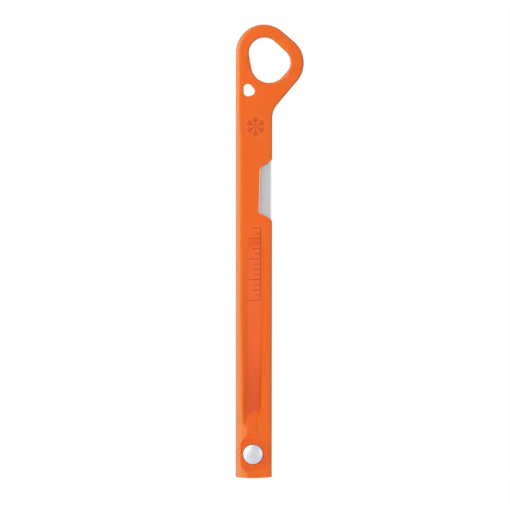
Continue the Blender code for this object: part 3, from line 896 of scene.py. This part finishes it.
def cover_mesh(materials):
    shell = Shell()
    points, tris, loops, heights, masks, engraved = cover_face()
    outline, eye, cord, bore = loops
    count = len(OUTLINE)
    open_numbers = [(OPEN_START + i) % count
                    for i in range((OPEN_STOP - OPEN_START) % count + 1)]
    floor = [tuple(p) for p in FLOOR[1:-1]]
    channel_points, channel_tris, (channel_loop, channel_bore), channel_heights = channel_face(
        [OUTLINE[i] for i in open_numbers], floor)

    for side in (-1, 1):
        face = [shell.add(x, side * h, z, tuple(mask))
                for (x, z), h, mask in zip(points, heights, masks)]
        for tri, cut in zip(tris, engraved):
            shell.face([face[v] for v in tri], 1 if cut else 0)
        inner = [shell.add(x, side * h, z) for (x, z), h in zip(channel_points, channel_heights)]
        for tri in channel_tris:
            shell.face([inner[v] for v in tri])
        channel = {i: inner[v] for i, v in zip(open_numbers, channel_loop)}
        columns = [outline_column(shell, side, i, face[v], heights[v], channel)
                   for i, v in enumerate(outline)]
        outline_wall(shell, columns, set(open_numbers[:-1]))
        # channel floor, out to the mid-plane
        floor_columns = [[inner[v], shell.add(x, 0.0, z)]
                         for v, (x, z) in zip(channel_loop[len(open_numbers):], floor)]
        shell.wall([columns[OPEN_STOP][1:]] + floor_columns + [columns[OPEN_START][1:]],
                   loop=False)
        hole_wall(shell, side, [face[v] for v in eye], EYE_RING)
        hole_wall(shell, side, [face[v] for v in cord], CORD_RING)
        shell.wall([(face[v], inner[w]) for v, w in zip(bore, channel_bore)])
    # the rim stays within the cover's own height
    shell.co = [(x, y, min(z, COVER_HI.z)) for x, y, z in shell.co]
    return shell.build("cover_shell", materials, sharp=52.0)


# =========================================================================================
# the leaf
# =========================================================================================
LEAF_HALF, LEAF_TOP = LEAF_HI.y, LEAF_HI.z
LEAF_MOUTH_X, LEAF_SPINE_X, TANG_R = LEAF_HI.x, -1.25, 5.25
BLADE_EDGE_X, BLADE_LOW_Z, BLADE_HIGH_Z = -4.85, 17.5, 61.0
BLADE_SPAN = BLADE_HIGH_Z - BLADE_LOW_Z
BLADE_BOW, BLADE_GRIND = 0.9, 3.2         # how far the edge is hollowed, width of its bevel
BLADE_TIP_HALF = 0.06                     # half thickness left at the cutting edge
POCKET = (2.35, 147.7, 2.90)              # round bite below the tip: (x, z, radius)
LEAF_BORE_R, LEAF_BORE_COUNT = 2.80, 64
LEAF_EDGE, LEAF_BORE_EDGE = (0.16, 0.16, 90.0), (0.12, 0.12, 90.0)
CHAMFER_W, CHAMFER_DEPTH = 0.85, 0.22     # down the open side


def leaf_outline():
    px, pz, pr = POCKET
    pocket_start = (px + pr * math.cos(math.radians(-140)), pz + pr * math.sin(math.radians(-140)))
    # tang, shoulder and cutting edge
    out = arc(0, 0, TANG_R, -60.0, -180.0, 6)
    out += [(-TANG_R, 5.0), (-TANG_R, 9.6)]
    out += rounded([(-TANG_R, 9.6), (-TANG_R, 12.0), (-3.3, 14.8), (BLADE_EDGE_X, BLADE_LOW_Z)],
                   [1.2, 0.9], 15)[1:]
    for i in range(1, 40):
        t = i / 40
        out.append((BLADE_EDGE_X + BLADE_BOW * math.sin(math.pi * t),
                    BLADE_LOW_Z + BLADE_SPAN * t))
    # spine's side up to the pocket
    out += rounded([(BLADE_EDGE_X, BLADE_HIGH_Z), (-4.2, 63.4), (LEAF_SPINE_X, 70.4),
                    (LEAF_SPINE_X, 90.0)], [2.0, 6.0], 8)
    out += line((LEAF_SPINE_X, 90.0), (LEAF_SPINE_X, 134.0), 4.0)[1:]
    out += rounded([(LEAF_SPINE_X, 134.0), (LEAF_SPINE_X, 138.2), (0.02, 142.0), pocket_start],
                   [4.0, 3.0], 8)[1:-1]
    # pocket, hooked point and top
    out += arc(px, pz, pr, -140.0, 122.0, 7)
    out += rounded([out[-1], (-0.15, 148.5), (-0.98, 146.85)], [1.8], 10)[1:-1]
    out += arc(-1.52, 147.0, 0.60, -20.0, -180.0, 22)
    out += arc(3.15, LEAF_TOP - 5.35, 5.35, 178.0, 88.0, 6)
    # open side, back to the tang
    out += rounded([out[-1], (7.3, LEAF_TOP - 0.15), (LEAF_MOUTH_X, 154.2),
                    (LEAF_MOUTH_X, 145.0)], [4.5, 6.0], 6)[1:]
    out += line((LEAF_MOUTH_X, 145.0), (LEAF_MOUTH_X, 20.0), 4.0)[1:]
    out += rounded([(LEAF_MOUTH_X, 20.0), (LEAF_MOUTH_X, 12.3), (TANG_R, 12.05), (TANG_R, 5.0)],
                   [1.2, 0.7], 12)[1:]
    out += arc(0, 0, TANG_R, 0.0, -56.0, 6)
    return without_repeats(out, 0.02)


def leaf_height(points, outline, bore, blade):
    x, z = points[:, 0], points[:, 1]
    height = LEAF_HALF - plain_drop(distance(points, closed(outline)), LEAF_EDGE)
    bore_drop = plain_drop(distance(points, closed(bore)), LEAF_BORE_EDGE)
    height = np.minimum(height, LEAF_HALF - bore_drop)
    # ground cutting bevel, hollow, running out past either end of the edge
    across = np.clip(distance(points, blade) / BLADE_GRIND, 0, None)
    bevel = BLADE_TIP_HALF + (LEAF_HALF - BLADE_TIP_HALF) * across ** 1.12
    past = np.maximum(BLADE_LOW_Z - z, z - BLADE_HIGH_Z)
    bevel = np.where(past > 0, bevel + past * 0.35, bevel)
    height = np.minimum(height, bevel)
    # narrow chamfer down the open side, fading out at either end
    chamfer = LEAF_HALF - (CHAMFER_DEPTH * np.clip(1 - (LEAF_MOUTH_X - x) / CHAMFER_W, 0, 1)
                           * np.clip((152 - z) / 3, 0, 1) * np.clip((z - 14) / 3, 0, 1))
    height = np.minimum(height, smin(height, chamfer, 0.02))
    return np.maximum(height, 0.05)


def leaf_points(outline, blade):
    """Loose points of the leaf: rings along its edges, lines along bevel and chamfer, a field."""
    tangents = np.roll(outline, -1, 0) - np.roll(outline, 1, 0)
    tangents /= np.linalg.norm(tangents, axis=1)[:, None]
    normals = np.stack([tangents[:, 1], -tangents[:, 0]], 1)
    rings = [outline + normals * depth for depth in ring_levels(4, LEAF_EDGE) + [0.24, 0.5]]
    rings += [np.array(circle(LEAF_BORE_R + grow, LEAF_BORE_COUNT))
              for grow in (0.04, 0.09, 0.12, 0.24)]
    rings = np.vstack(rings)
    rings = rings[inside(rings, outline)
                  & (np.hypot(rings[:, 0], rings[:, 1]) > LEAF_BORE_R + 0.02)]
    rings = rings[distance(rings, closed(outline)) > 0.004]

    extra = [blade + np.array([offset, 0.0])
             for offset in (0.4, 0.8, 1.4, 2.0, 2.6, 3.08, 3.2, 3.32)]
    zs = np.arange(14.0, 152.0, 2.0)
    extra += [np.stack([np.full(len(zs), LEAF_MOUTH_X - offset), zs], 1)
              for offset in (0.3, 0.6, 0.84, 0.9)]
    field = np.vstack([hex_grid(-5, 3, 12, 66, 0.7), hex_grid(-5, 8.6, -5, 159, 2.0)])
    gap = distance(field, blade)
    off_blade = (gap > BLADE_GRIND) | (field[:, 1] < BLADE_LOW_Z) | (field[:, 1] > BLADE_HIGH_Z)
    extra.append(field[(np.abs(gap - BLADE_GRIND) > 0.45) & off_blade])
    extra = np.vstack(extra)
    extra = extra[inside(extra, outline)
                  & (np.hypot(extra[:, 0], extra[:, 1]) > LEAF_BORE_R + 0.4)]
    extra = extra[distance(extra, closed(outline)) > 0.22]
    return np.vstack([rings, thin_out(extra, rings, 0.08)])


def leaf_mesh(materials):
    shell = Shell()
    outline = np.array(leaf_outline())
    bore = np.array(circle(LEAF_BORE_R, LEAF_BORE_COUNT))
    s = np.linspace(0, 1, 60)
    blade = np.stack([BLADE_EDGE_X + BLADE_BOW * np.sin(np.pi * s),
                      BLADE_LOW_Z + BLADE_SPAN * s], 1)
    points, tris, loops = triangulate([outline, bore], leaf_points(outline, blade), [])
    heights = leaf_height(points, outline, bore, blade)
    front = [shell.add(x, -h, z) for (x, z), h in zip(points, heights)]
    rear = [shell.add(x, h, z) for (x, z), h in zip(points, heights)]
    centres = points[tris].mean(1)
    ground = ((distance(centres, blade) < BLADE_GRIND * 0.985)
              & (centres[:, 1] > BLADE_LOW_Z - 0.6) & (centres[:, 1] < BLADE_HIGH_Z + 0.6))
    for tri, is_ground in zip(tris, ground):
        for sheet in (front, rear):
            shell.face([sheet[v] for v in tri], 1 if is_ground else 0)
    for loop in loops:
        shell.wall([(front[v], rear[v]) for v in loop])
    return shell.build("leaf_hook_blade", materials, sharp=48.0)


# =========================================================================================
# the rivet
# =========================================================================================
RIVET_COUNT = 96
RIVET_R = FRONT_HI.x
UNDER_HEAD = 3.10                         # where either head sits, off the mid-plane


def turned(name, profile, material):
    """A body turned about the pivot axis from (radius, y) points."""
    shell = Shell()
    rings = []
    for radius, y in profile:
        if radius < 1e-9:
            rings.append([shell.add(0, y, 0)] * RIVET_COUNT)
        else:
            rings.append([shell.add(x, y, z) for x, z in circle(radius, RIVET_COUNT)])
    for a, b in zip(rings, rings[1:]):
        shell.wall(list(zip(a, b)))
    return shell.build(name, [material], sharp=50.0)


def domed_profile():
    """Front half: a domed head and a hollow shank."""
    top = -FRONT_LO.y
    rise = top - UNDER_HEAD - 0.42
    dome_r = (RIVET_R ** 2 + rise ** 2) / (2 * rise)      # sphere through rim and top
    crown = []
    for i in range(25):
        x = (RIVET_R - 0.16) * i / 24
        crown.append((x, -(top - (dome_r - math.sqrt(dome_r * dome_r - x * x)))))
    rim_y = crown[-1][1]
    crown += rounded([crown[-1], (RIVET_R, rim_y + 0.06), (RIVET_R, rim_y + 0.3)],
                     [0.10], 18.0)[1:-1]
    return crown + [(RIVET_R, -(UNDER_HEAD + 0.08)), (RIVET_R - 0.06, -(UNDER_HEAD + 0.02)),
                    (RIVET_R - 0.12, -UNDER_HEAD), (2.0, -UNDER_HEAD), (2.0, FRONT_HI.y),
                    (1.3, FRONT_HI.y), (1.3, -2.9), (0.0, -2.9)]


def flat_profile():
    """Rear half: a flat head and a pin."""
    top = REAR_HI.y
    rim = rounded([(RIVET_R - 0.95, top), (RIVET_R - 0.35, top - 0.02), (RIVET_R, top - 0.62),
                   (RIVET_R, top - 0.9)], [0.5, 0.6], 12)[1:-1]
    return [(0.0, top), (1.6, top), (RIVET_R - 0.95, top)] + rim + [
        (RIVET_R, UNDER_HEAD + 0.08), (RIVET_R - 0.06, UNDER_HEAD + 0.02),
        (RIVET_R - 0.12, UNDER_HEAD), (1.25, UNDER_HEAD), (1.25, -2.2), (0.95, -2.5), (0.0, -2.5)]


# =========================================================================================
# materials
# =========================================================================================
def feed(socket, value):
    """Links a socket to an output, or sets its value; colours are given as three numbers."""
    if isinstance(value, bpy.types.NodeSocket):
        socket.id_data.links.new(value, socket)
    else:
        socket.default_value = (*value, 1) if socket.type == "RGBA" else value


class Nodes:
    """Short calls for building a node tree; each returns the new node's output."""

    def __init__(self, owner):
        owner.use_nodes = True
        self.tree = owner.node_tree

    def add(self, kind, inputs=None, **settings):
        node = self.tree.nodes.new(kind)
        for key, value in settings.items():
            setattr(node, key, value)
        for key, value in (inputs or {}).items():
            feed(node.inputs[key], value)
        return node

    def coords(self, scale=(1, 1, 1)):
        place = self.add("ShaderNodeTexCoord").outputs["Object"]
        mapping = self.add("ShaderNodeMapping", {"Scale": scale, "Vector": place})
        return mapping.outputs["Vector"]

    def axes(self, vector):
        return self.add("ShaderNodeSeparateXYZ", {0: vector}).outputs

    def object_axes(self):
        return self.axes(self.add("ShaderNodeTexCoord").outputs["Object"])

    def attribute(self, name):
        return self.add("ShaderNodeAttribute", attribute_name=name).outputs["Fac"]

    def facing(self):
        return self.add("ShaderNodeLayerWeight", {"Blend": 0.5}).outputs["Facing"]

    def camera_ray(self):
        return self.add("ShaderNodeLightPath").outputs["Is Camera Ray"]

    def noise(self, vector, scale, detail, roughness):
        inputs = {"Vector": vector, "Scale": scale, "Detail": detail, "Roughness": roughness}
        return self.add("ShaderNodeTexNoise", inputs).outputs["Fac"]

    def ramp(self, factor, stops):
        node = self.add("ShaderNodeValToRGB", {"Fac": factor})
        elements = node.color_ramp.elements
        while len(elements) < len(stops):
            elements.new(0.5)
        for element, (position, colour) in zip(elements, stops):
            element.position = position
            element.color = (*colour, 1)
        return node.outputs["Color"]

    def span(self, value, to, over=(0.0, 1.0), shape="LINEAR"):
        """Maps the range over to the range to."""
        inputs = {"From Min": over[0], "From Max": over[1],
                  "To Min": to[0], "To Max": to[1], "Value": value}
        node = self.add("ShaderNodeMapRange", inputs, interpolation_type=shape)
        return node.outputs["Result"]

    def mix(self, factor, a, b, kind="MIX"):
        # of the Mix node's sockets, 0 is the factor and 6, 7 and 2 are its colours
        node = self.add("ShaderNodeMix", data_type="RGBA", blend_type=kind)
        for key, value in ((0, factor), (6, a), (7, b)):
            feed(node.inputs[key], value)
        return node.outputs[2]

    def mix_shader(self, factor, a, b):
        return self.add("ShaderNodeMixShader", {0: factor, 1: a, 2: b}).outputs[0]

    def bump(self, height, strength, distance, normal=None):
        inputs = {"Strength": strength, "Distance": distance, "Height": height}
        if normal is not None:
            inputs["Normal"] = normal
        return self.add("ShaderNodeBump", inputs).outputs["Normal"]

    def math(self, operation, a, b):
        return self.add("ShaderNodeMath", {0: a, 1: b}, operation=operation).outputs["Value"]


class Material(Nodes):
    def __init__(self, name):
        self.material = bpy.data.materials.new(name)
        super().__init__(self.material)
        self.bsdf = self.tree.nodes["Principled BSDF"]

    def surface(self, inputs):
        """Sets the Principled shader and returns the material."""
        for key, value in inputs.items():
            feed(self.bsdf.inputs[key], value)
        return self.material

    def layers(self, base, layers):
        """Lays (mask, colour) pairs over a base colour in turn."""
        for mask, colour in layers:
            base = self.mix(mask, base, colour)
        return base


def painted_edge_highlight(m, base, normal, shown):
    """Painted highlight: where the face turns edge-on, and most where it faces the lamps at -x,
    the nylon is painted paler and yellower.
    """
    facing = m.facing()
    # (how far edge-on, red kept, green added, blue added)
    stops = ((0.0, 1.0, 0.0, 0.0), (0.022, 0.94, 0.016, 0.0), (0.06, 0.93, 0.045, 0.017),
             (0.117, 0.88, 0.070, 0.038), (0.20, 0.80, 0.067, 0.040), (0.28, 0.72, 0.060, 0.038),
             (0.43, 0.62, 0.042, 0.034), (1.0, 0.52, 0.014, 0.028))
    tint = m.ramp(facing, [(at, (red, 1.0, 1.0)) for at, red, _, _ in stops])
    glow = m.ramp(facing, [(at, (0.0, green, blue)) for at, _, green, blue in stops])
    highlighted = m.mix(1.0, m.mix(1.0, base, tint, kind="MULTIPLY"), glow, kind="ADD")
    facing_left_lamps = m.span(m.axes(normal)[0], to=(0.30, 1.0), over=(0.05, -0.30))
    rim, wall = shown
    lit = m.math("MULTIPLY", facing_left_lamps, m.math("SUBTRACT", 1.0, rim))
    lit = m.math("MULTIPLY", lit, m.span(wall, to=(1.0, 0.0)))
    return m.mix(lit, base, highlighted)


def orange_nylon():
    m = Material("orange_nylon_moulded")
    place = m.coords()
    # broad flow clouds along the moulding, spark-eroded mould grain, and specks
    flow = m.noise(m.coords(scale=(1.0, 1.0, 0.35)), scale=55.0, detail=4.0, roughness=0.55)
    grain = m.noise(place, scale=2600.0, detail=2.0, roughness=0.6)
    speck = m.noise(place, scale=900.0, detail=3.0, roughness=0.6)
    geometry = m.add("ShaderNodeNewGeometry").outputs
    axes = m.object_axes()
    recess, wall, rim = (m.attribute(name) for name in MASK_NAMES[:3])
    # masks for the window edge's painted highlight and the spot face slope's painted light
    window_highlight, slope = (m.attribute(name) for name in MASK_NAMES[3:])

    near_pivot = m.span(axes[2], to=(0.0, 1.0), over=(PIVOT.z + 0.060, PIVOT.z + 0.020),
                        shape="SMOOTHSTEP")
    # painted shade, fullest on the deep floor near the pivot
    deep_shade = m.math("MULTIPLY", m.span(recess, to=(0.0, 0.92), over=(0.5, 1.0)), near_pivot)
    open_side = m.span(axes[0], to=(0.0, 1.0), over=(PIVOT.x + 0.0005, PIVOT.x + 0.0020))
    # painted shade on the recess's two side walls
    spine_wall_shade = m.math("MULTIPLY", wall, m.span(open_side, to=(0.75, 0.0)))
    open_wall_shade = m.math("MULTIPLY", wall, m.span(open_side, to=(0.0, 0.75)))

    base = m.ramp(flow, [(0.30, (0.795, 0.124, 0.0062)), (0.70, (0.835, 0.134, 0.0080))])
    base = m.layers(base, (
        # edges rubbed a touch paler
        (m.span(geometry["Pointiness"], to=(0.0, 0.35), over=(0.505, 0.56)), (0.86, 0.20, 0.040)),
        (m.span(speck, to=(0.0, 0.07), over=(0.45, 0.75)), (0.62, 0.085, 0.010)),
        # painted shade in the recess, darker towards the pivot
        (m.span(recess, to=(0.0, 0.85), over=(0.0, 0.5)), (0.77, 0.093, 0.0065)),
        (m.span(recess, to=(0.0, 0.70), over=(0.5, 1.0)), (0.82, 0.142, 0.028)),
        (deep_shade, (0.665, 0.090, 0.0185)),
        # painted shade on its walls, heaviest on the wall towards the open side
        (spine_wall_shade, (0.87, 0.116, 0.0035)),
        (open_wall_shade, (0.60, 0.084, 0.005)),
    ))
    # painted highlight where the face turns edge-on towards the lamps at -x
    base = painted_edge_highlight(m, base, geometry["Normal"], shown=(rim, wall))
    base = m.layers(base, (
        # painted light on the slope down to the spot face, and a painted highlight along the
        # window's upright edge
        (m.span(slope, to=(0.0, 0.95)), (0.98, 0.136, 0.003)),
        (m.span(window_highlight, to=(0.0, 0.9)), (1.0, 0.80, 0.72)),
    ))
    rough = m.span(m.math("ADD", grain, flow), to=(0.38, 0.50), over=(0.7, 1.3))
    fine_bump = m.bump(grain, strength=0.20, distance=0.00006)
    return m.surface({
        "Base Color": base,
        "Roughness": m.math("ADD", rough, m.math("MULTIPLY", recess, 0.10)),
        "IOR": 1.5,
        "Specular IOR Level": m.span(rim, to=(0.26, 0.05)),
        "Subsurface Weight": 0.08,
        "Subsurface Radius": (1.0, 0.25, 0.08),
        "Subsurface Scale": 0.0012,
        "Normal": m.bump(speck, strength=0.12, distance=0.00012, normal=fine_bump),
    })


def mark_groove():
    m = Material("engraved_mark")
    soot = m.noise(m.coords(), scale=1400.0, detail=3.0, roughness=0.6)
    return m.surface({
        "Base Color": m.ramp(soot, [(0.3, (0.46, 0.050, 0.008)), (0.75, (0.56, 0.070, 0.010))]),
        "Roughness": m.span(soot, to=(0.55, 0.72)),
        "Normal": m.bump(soot, strength=0.3, distance=0.00005),
    })


def satin_steel():
    m = Material("satin_stainless_brushed")
    # brushed along the leaf
    brushed = m.noise(m.coords(scale=(2600.0, 2600.0, 60.0)), scale=1.0, detail=3.0, roughness=0.6)
    cloud = m.noise(m.coords(), scale=160.0, detail=3.0, roughness=0.5)
    return m.surface({
        "Base Color": m.ramp(brushed, [(0.25, (0.66, 0.66, 0.655)), (0.75, (0.76, 0.76, 0.755))]),
        "Metallic": 1.0,
        "Roughness": m.span(m.math("ADD", brushed, cloud), to=(0.30, 0.44), over=(0.7, 1.3)),
        "Anisotropic": 0.35,
        "Normal": m.bump(brushed, strength=0.10, distance=0.00003),
    })


def ground_steel():
    m = Material("ground_bevel_steel")
    # grinding lines square to the edge
    ground = m.noise(m.coords(scale=(60.0, 60.0, 3800.0)), scale=1.0, detail=2.0, roughness=0.6)
    lines = m.ramp(ground, [(0.25, (0.56, 0.56, 0.57)), (0.75, (0.68, 0.68, 0.69))])
    # painted shade: seen edge-on, the bevel is painted darker, which damps its grazing reflection
    shade = m.ramp(m.facing(), [(at, (grey, grey, grey))
                                for at, grey in ((0.35, 1.0), (0.62, 0.42), (0.85, 0.22))])
    return m.surface({
        "Base Color": m.mix(1.0, lines, shade, kind="MULTIPLY"),
        "Specular Tint": (0.35, 0.35, 0.35),
        "Metallic": 1.0,
        "Roughness": m.span(ground, to=(0.36, 0.48)),
        "Normal": m.bump(ground, strength=0.14, distance=0.00003),
    })


def bright_rivet():
    m = Material("bright_nickel_rivet")
    axes = m.object_axes()
    dx, dz = m.math("SUBTRACT", axes[0], PIVOT.x), m.math("SUBTRACT", axes[2], PIVOT.z)
    square = m.math("ADD", m.math("MULTIPLY", dx, dx), m.math("MULTIPLY", dz, dz))
    radius = m.add("ShaderNodeCombineXYZ", {0: m.math("SQRT", square, 0.0)}).outputs[0]
    rings = m.noise(radius, scale=5200.0, detail=2.0, roughness=0.5)     # faint turning rings
    cloud = m.noise(m.coords(), scale=420.0, detail=3.0, roughness=0.5)
    return m.surface({
        "Base Color": m.ramp(cloud, [(0.3, (0.75, 0.79, 0.83)), (0.7, (0.81, 0.85, 0.89))]),
        "Metallic": 1.0,
        "Roughness": m.span(m.math("ADD", rings, cloud), to=(0.36, 0.44), over=(0.7, 1.3)),
        "Normal": m.bump(rings, strength=0.05, distance=0.00003),
    })


def plain_bronze():
    m = Material("plain_bronze")
    cloud = m.noise(m.coords(), scale=500.0, detail=4.0, roughness=0.6)
    return m.surface({
        "Base Color": m.ramp(cloud, [(0.3, (0.50, 0.31, 0.14)), (0.7, (0.66, 0.44, 0.21))]),
        "Metallic": 1.0,
        "Roughness": m.span(cloud, to=(0.28, 0.45)),
        "Normal": m.bump(cloud, strength=0.1, distance=0.00004),
    })


# =========================================================================================
# build the pieces
# =========================================================================================
def stand_in(obj, node, body):
    """Puts a mesh in the place of a CAD node."""
    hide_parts(node)
    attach(obj, body)


nylon, groove = orange_nylon(), mark_groove()
steel, ground_bevel = satin_steel(), ground_steel()
nickel, bronze = bright_rivet(), plain_bronze()

stand_in(cover_mesh([nylon, groove]), "cover", "cover_body")
stand_in(leaf_mesh([steel, ground_bevel]), "hook_blade", "hook_body")
stand_in(turned("rivet_domed_head", domed_profile(), nickel),
         "rivet_front_half", "cover_body")
stand_in(turned("rivet_flat_head", flat_profile(), nickel),
         "rivet_rear_half", "cover_body")

for node_name, metal in (("pivot_bush", steel), ("washer_front", bronze), ("washer_rear", bronze)):
    slots = frame["nodes"][node_name].data.materials
    slots.clear()
    slots.append(metal)


# =========================================================================================
# stage (metres)
# =========================================================================================
FLOOR_RADIUS, FLOOR_GAP = 8.0, 0.012      # the floor lies a leaf's length and a gap below
LAMP_AIM = Vector((0.0, -0.004, 0.095))
VIEW_MARGIN = 1.12533098                  # height of the view over the height of the product
CAMERA_SHIFT_X, CAMERA_RISE = 0.0010, 0.0967          # from the pivot


def pale_floor():
    """Pale near the middle, plain white further out."""
    m = Material("pale_floor")
    position = m.add("ShaderNodeNewGeometry").outputs["Position"]
    length = m.add("ShaderNodeVectorMath", {0: position}, operation="LENGTH").outputs["Value"]
    far = m.span(length, to=(0.0, 1.0), over=(0.35, 1.0))
    strength = m.span(m.camera_ray(), to=(0.72, 1.0))
    glow = m.add("ShaderNodeEmission", {"Color": (1, 1, 1), "Strength": strength})
    feed(m.tree.nodes["Material Output"].inputs["Surface"],
         m.mix_shader(far, m.bsdf.outputs[0], glow.outputs[0]))
    return m.surface({"Base Color": (0.86, 0.86, 0.86), "Roughness": 0.85})


def studio_floor():
    z = PIVOT.z - LEAF_HI.z * MM - FLOOR_GAP
    rim = [(x, y, z) for x, y in circle(FLOOR_RADIUS, 96)]
    mesh = bpy.data.meshes.new("studio_floor")
    mesh.from_pydata(rim, [], [list(range(len(rim)))])
    mesh.materials.append(pale_floor())
    floor = bpy.data.objects.new("studio_floor", mesh)
    bpy.context.scene.collection.objects.link(floor)


def studio_world():
    """A soft tent, brighter from -x, from above and from ahead (-y); the camera sees white."""
    world = bpy.data.worlds.new("studio")
    bpy.context.scene.world = world
    sky = Nodes(world)
    x, y, z = sky.axes(sky.add("ShaderNodeTexCoord").outputs["Generated"])
    side_and_top = sky.math("ADD", sky.math("MULTIPLY", x, -0.11), sky.math("MULTIPLY", z, 0.10))
    behind = sky.math("MULTIPLY", sky.math("MAXIMUM", y, 0.0), -0.17)
    level = sky.math("ADD", sky.math("ADD", side_and_top, behind), 0.57)
    ahead = sky.math("MAXIMUM", sky.math("MULTIPLY", y, -1.0), 0.0)
    ahead = sky.math("MULTIPLY", sky.math("POWER", ahead, 4.0), 0.13)
    level = sky.math("ADD", level, ahead)
    grey = sky.add("ShaderNodeCombineColor", {0: level, 1: level, 2: level})
    tent = sky.tree.nodes["Background"]
    feed(tent.inputs["Color"], grey.outputs[0])
    feed(tent.inputs["Strength"], 0.90)
    seen = sky.add("ShaderNodeBackground", {"Color": (1, 1, 1), "Strength": 1.0})
    feed(sky.tree.nodes["World Output"].inputs["Surface"],
         sky.mix_shader(sky.camera_ray(), tent.outputs[0], seen.outputs[0]))


def softbox(name, at, size, watts):
    lamp = bpy.data.lights.new(name, "AREA")
    lamp.shape = "RECTANGLE"
    lamp.size, lamp.size_y = size
    lamp.energy = watts
    obj = bpy.data.objects.new(name, lamp)
    obj.location = at
    obj.rotation_mode = "QUATERNION"
    obj.rotation_quaternion = (LAMP_AIM - Vector(at)).to_track_quat("-Z", "Y")
    bpy.context.scene.collection.objects.link(obj)


def front_camera():
    """A long lens looking along +y."""
    data = bpy.data.cameras.new("camera")
    data.sensor_width = 36.0
    data.lens = 400.0
    data.clip_end = 50.0
    view_height = (cad_bounds[1] - cad_bounds[0]).z * VIEW_MARGIN
    away = view_height * data.lens / data.sensor_width
    camera = bpy.data.objects.new("camera", data)
    camera.location = (PIVOT.x + CAMERA_SHIFT_X, PIVOT.y - away, PIVOT.z + CAMERA_RISE)
    camera.rotation_euler = (math.radians(90), 0, 0)
    bpy.context.scene.collection.objects.link(camera)
    bpy.context.scene.camera = camera


studio_floor()
studio_world()
softbox("key_left", at=(-1.15, -0.61, 0.20), size=(0.7, 1.1), watts=6.6)
softbox("fill_left", at=(-0.75, -0.90, 0.75), size=(0.8, 0.8), watts=5.3)
softbox("fill_right", at=(0.95, -1.05, 0.30), size=(0.8, 0.9), watts=2.0)
softbox("rear_left", at=(-1.05, 0.35, 0.15), size=(0.9, 1.1), watts=7.5)
front_camera()
bpy.context.scene.view_settings.view_transform = "Standard"
bpy.context.scene.view_settings.look = "None"
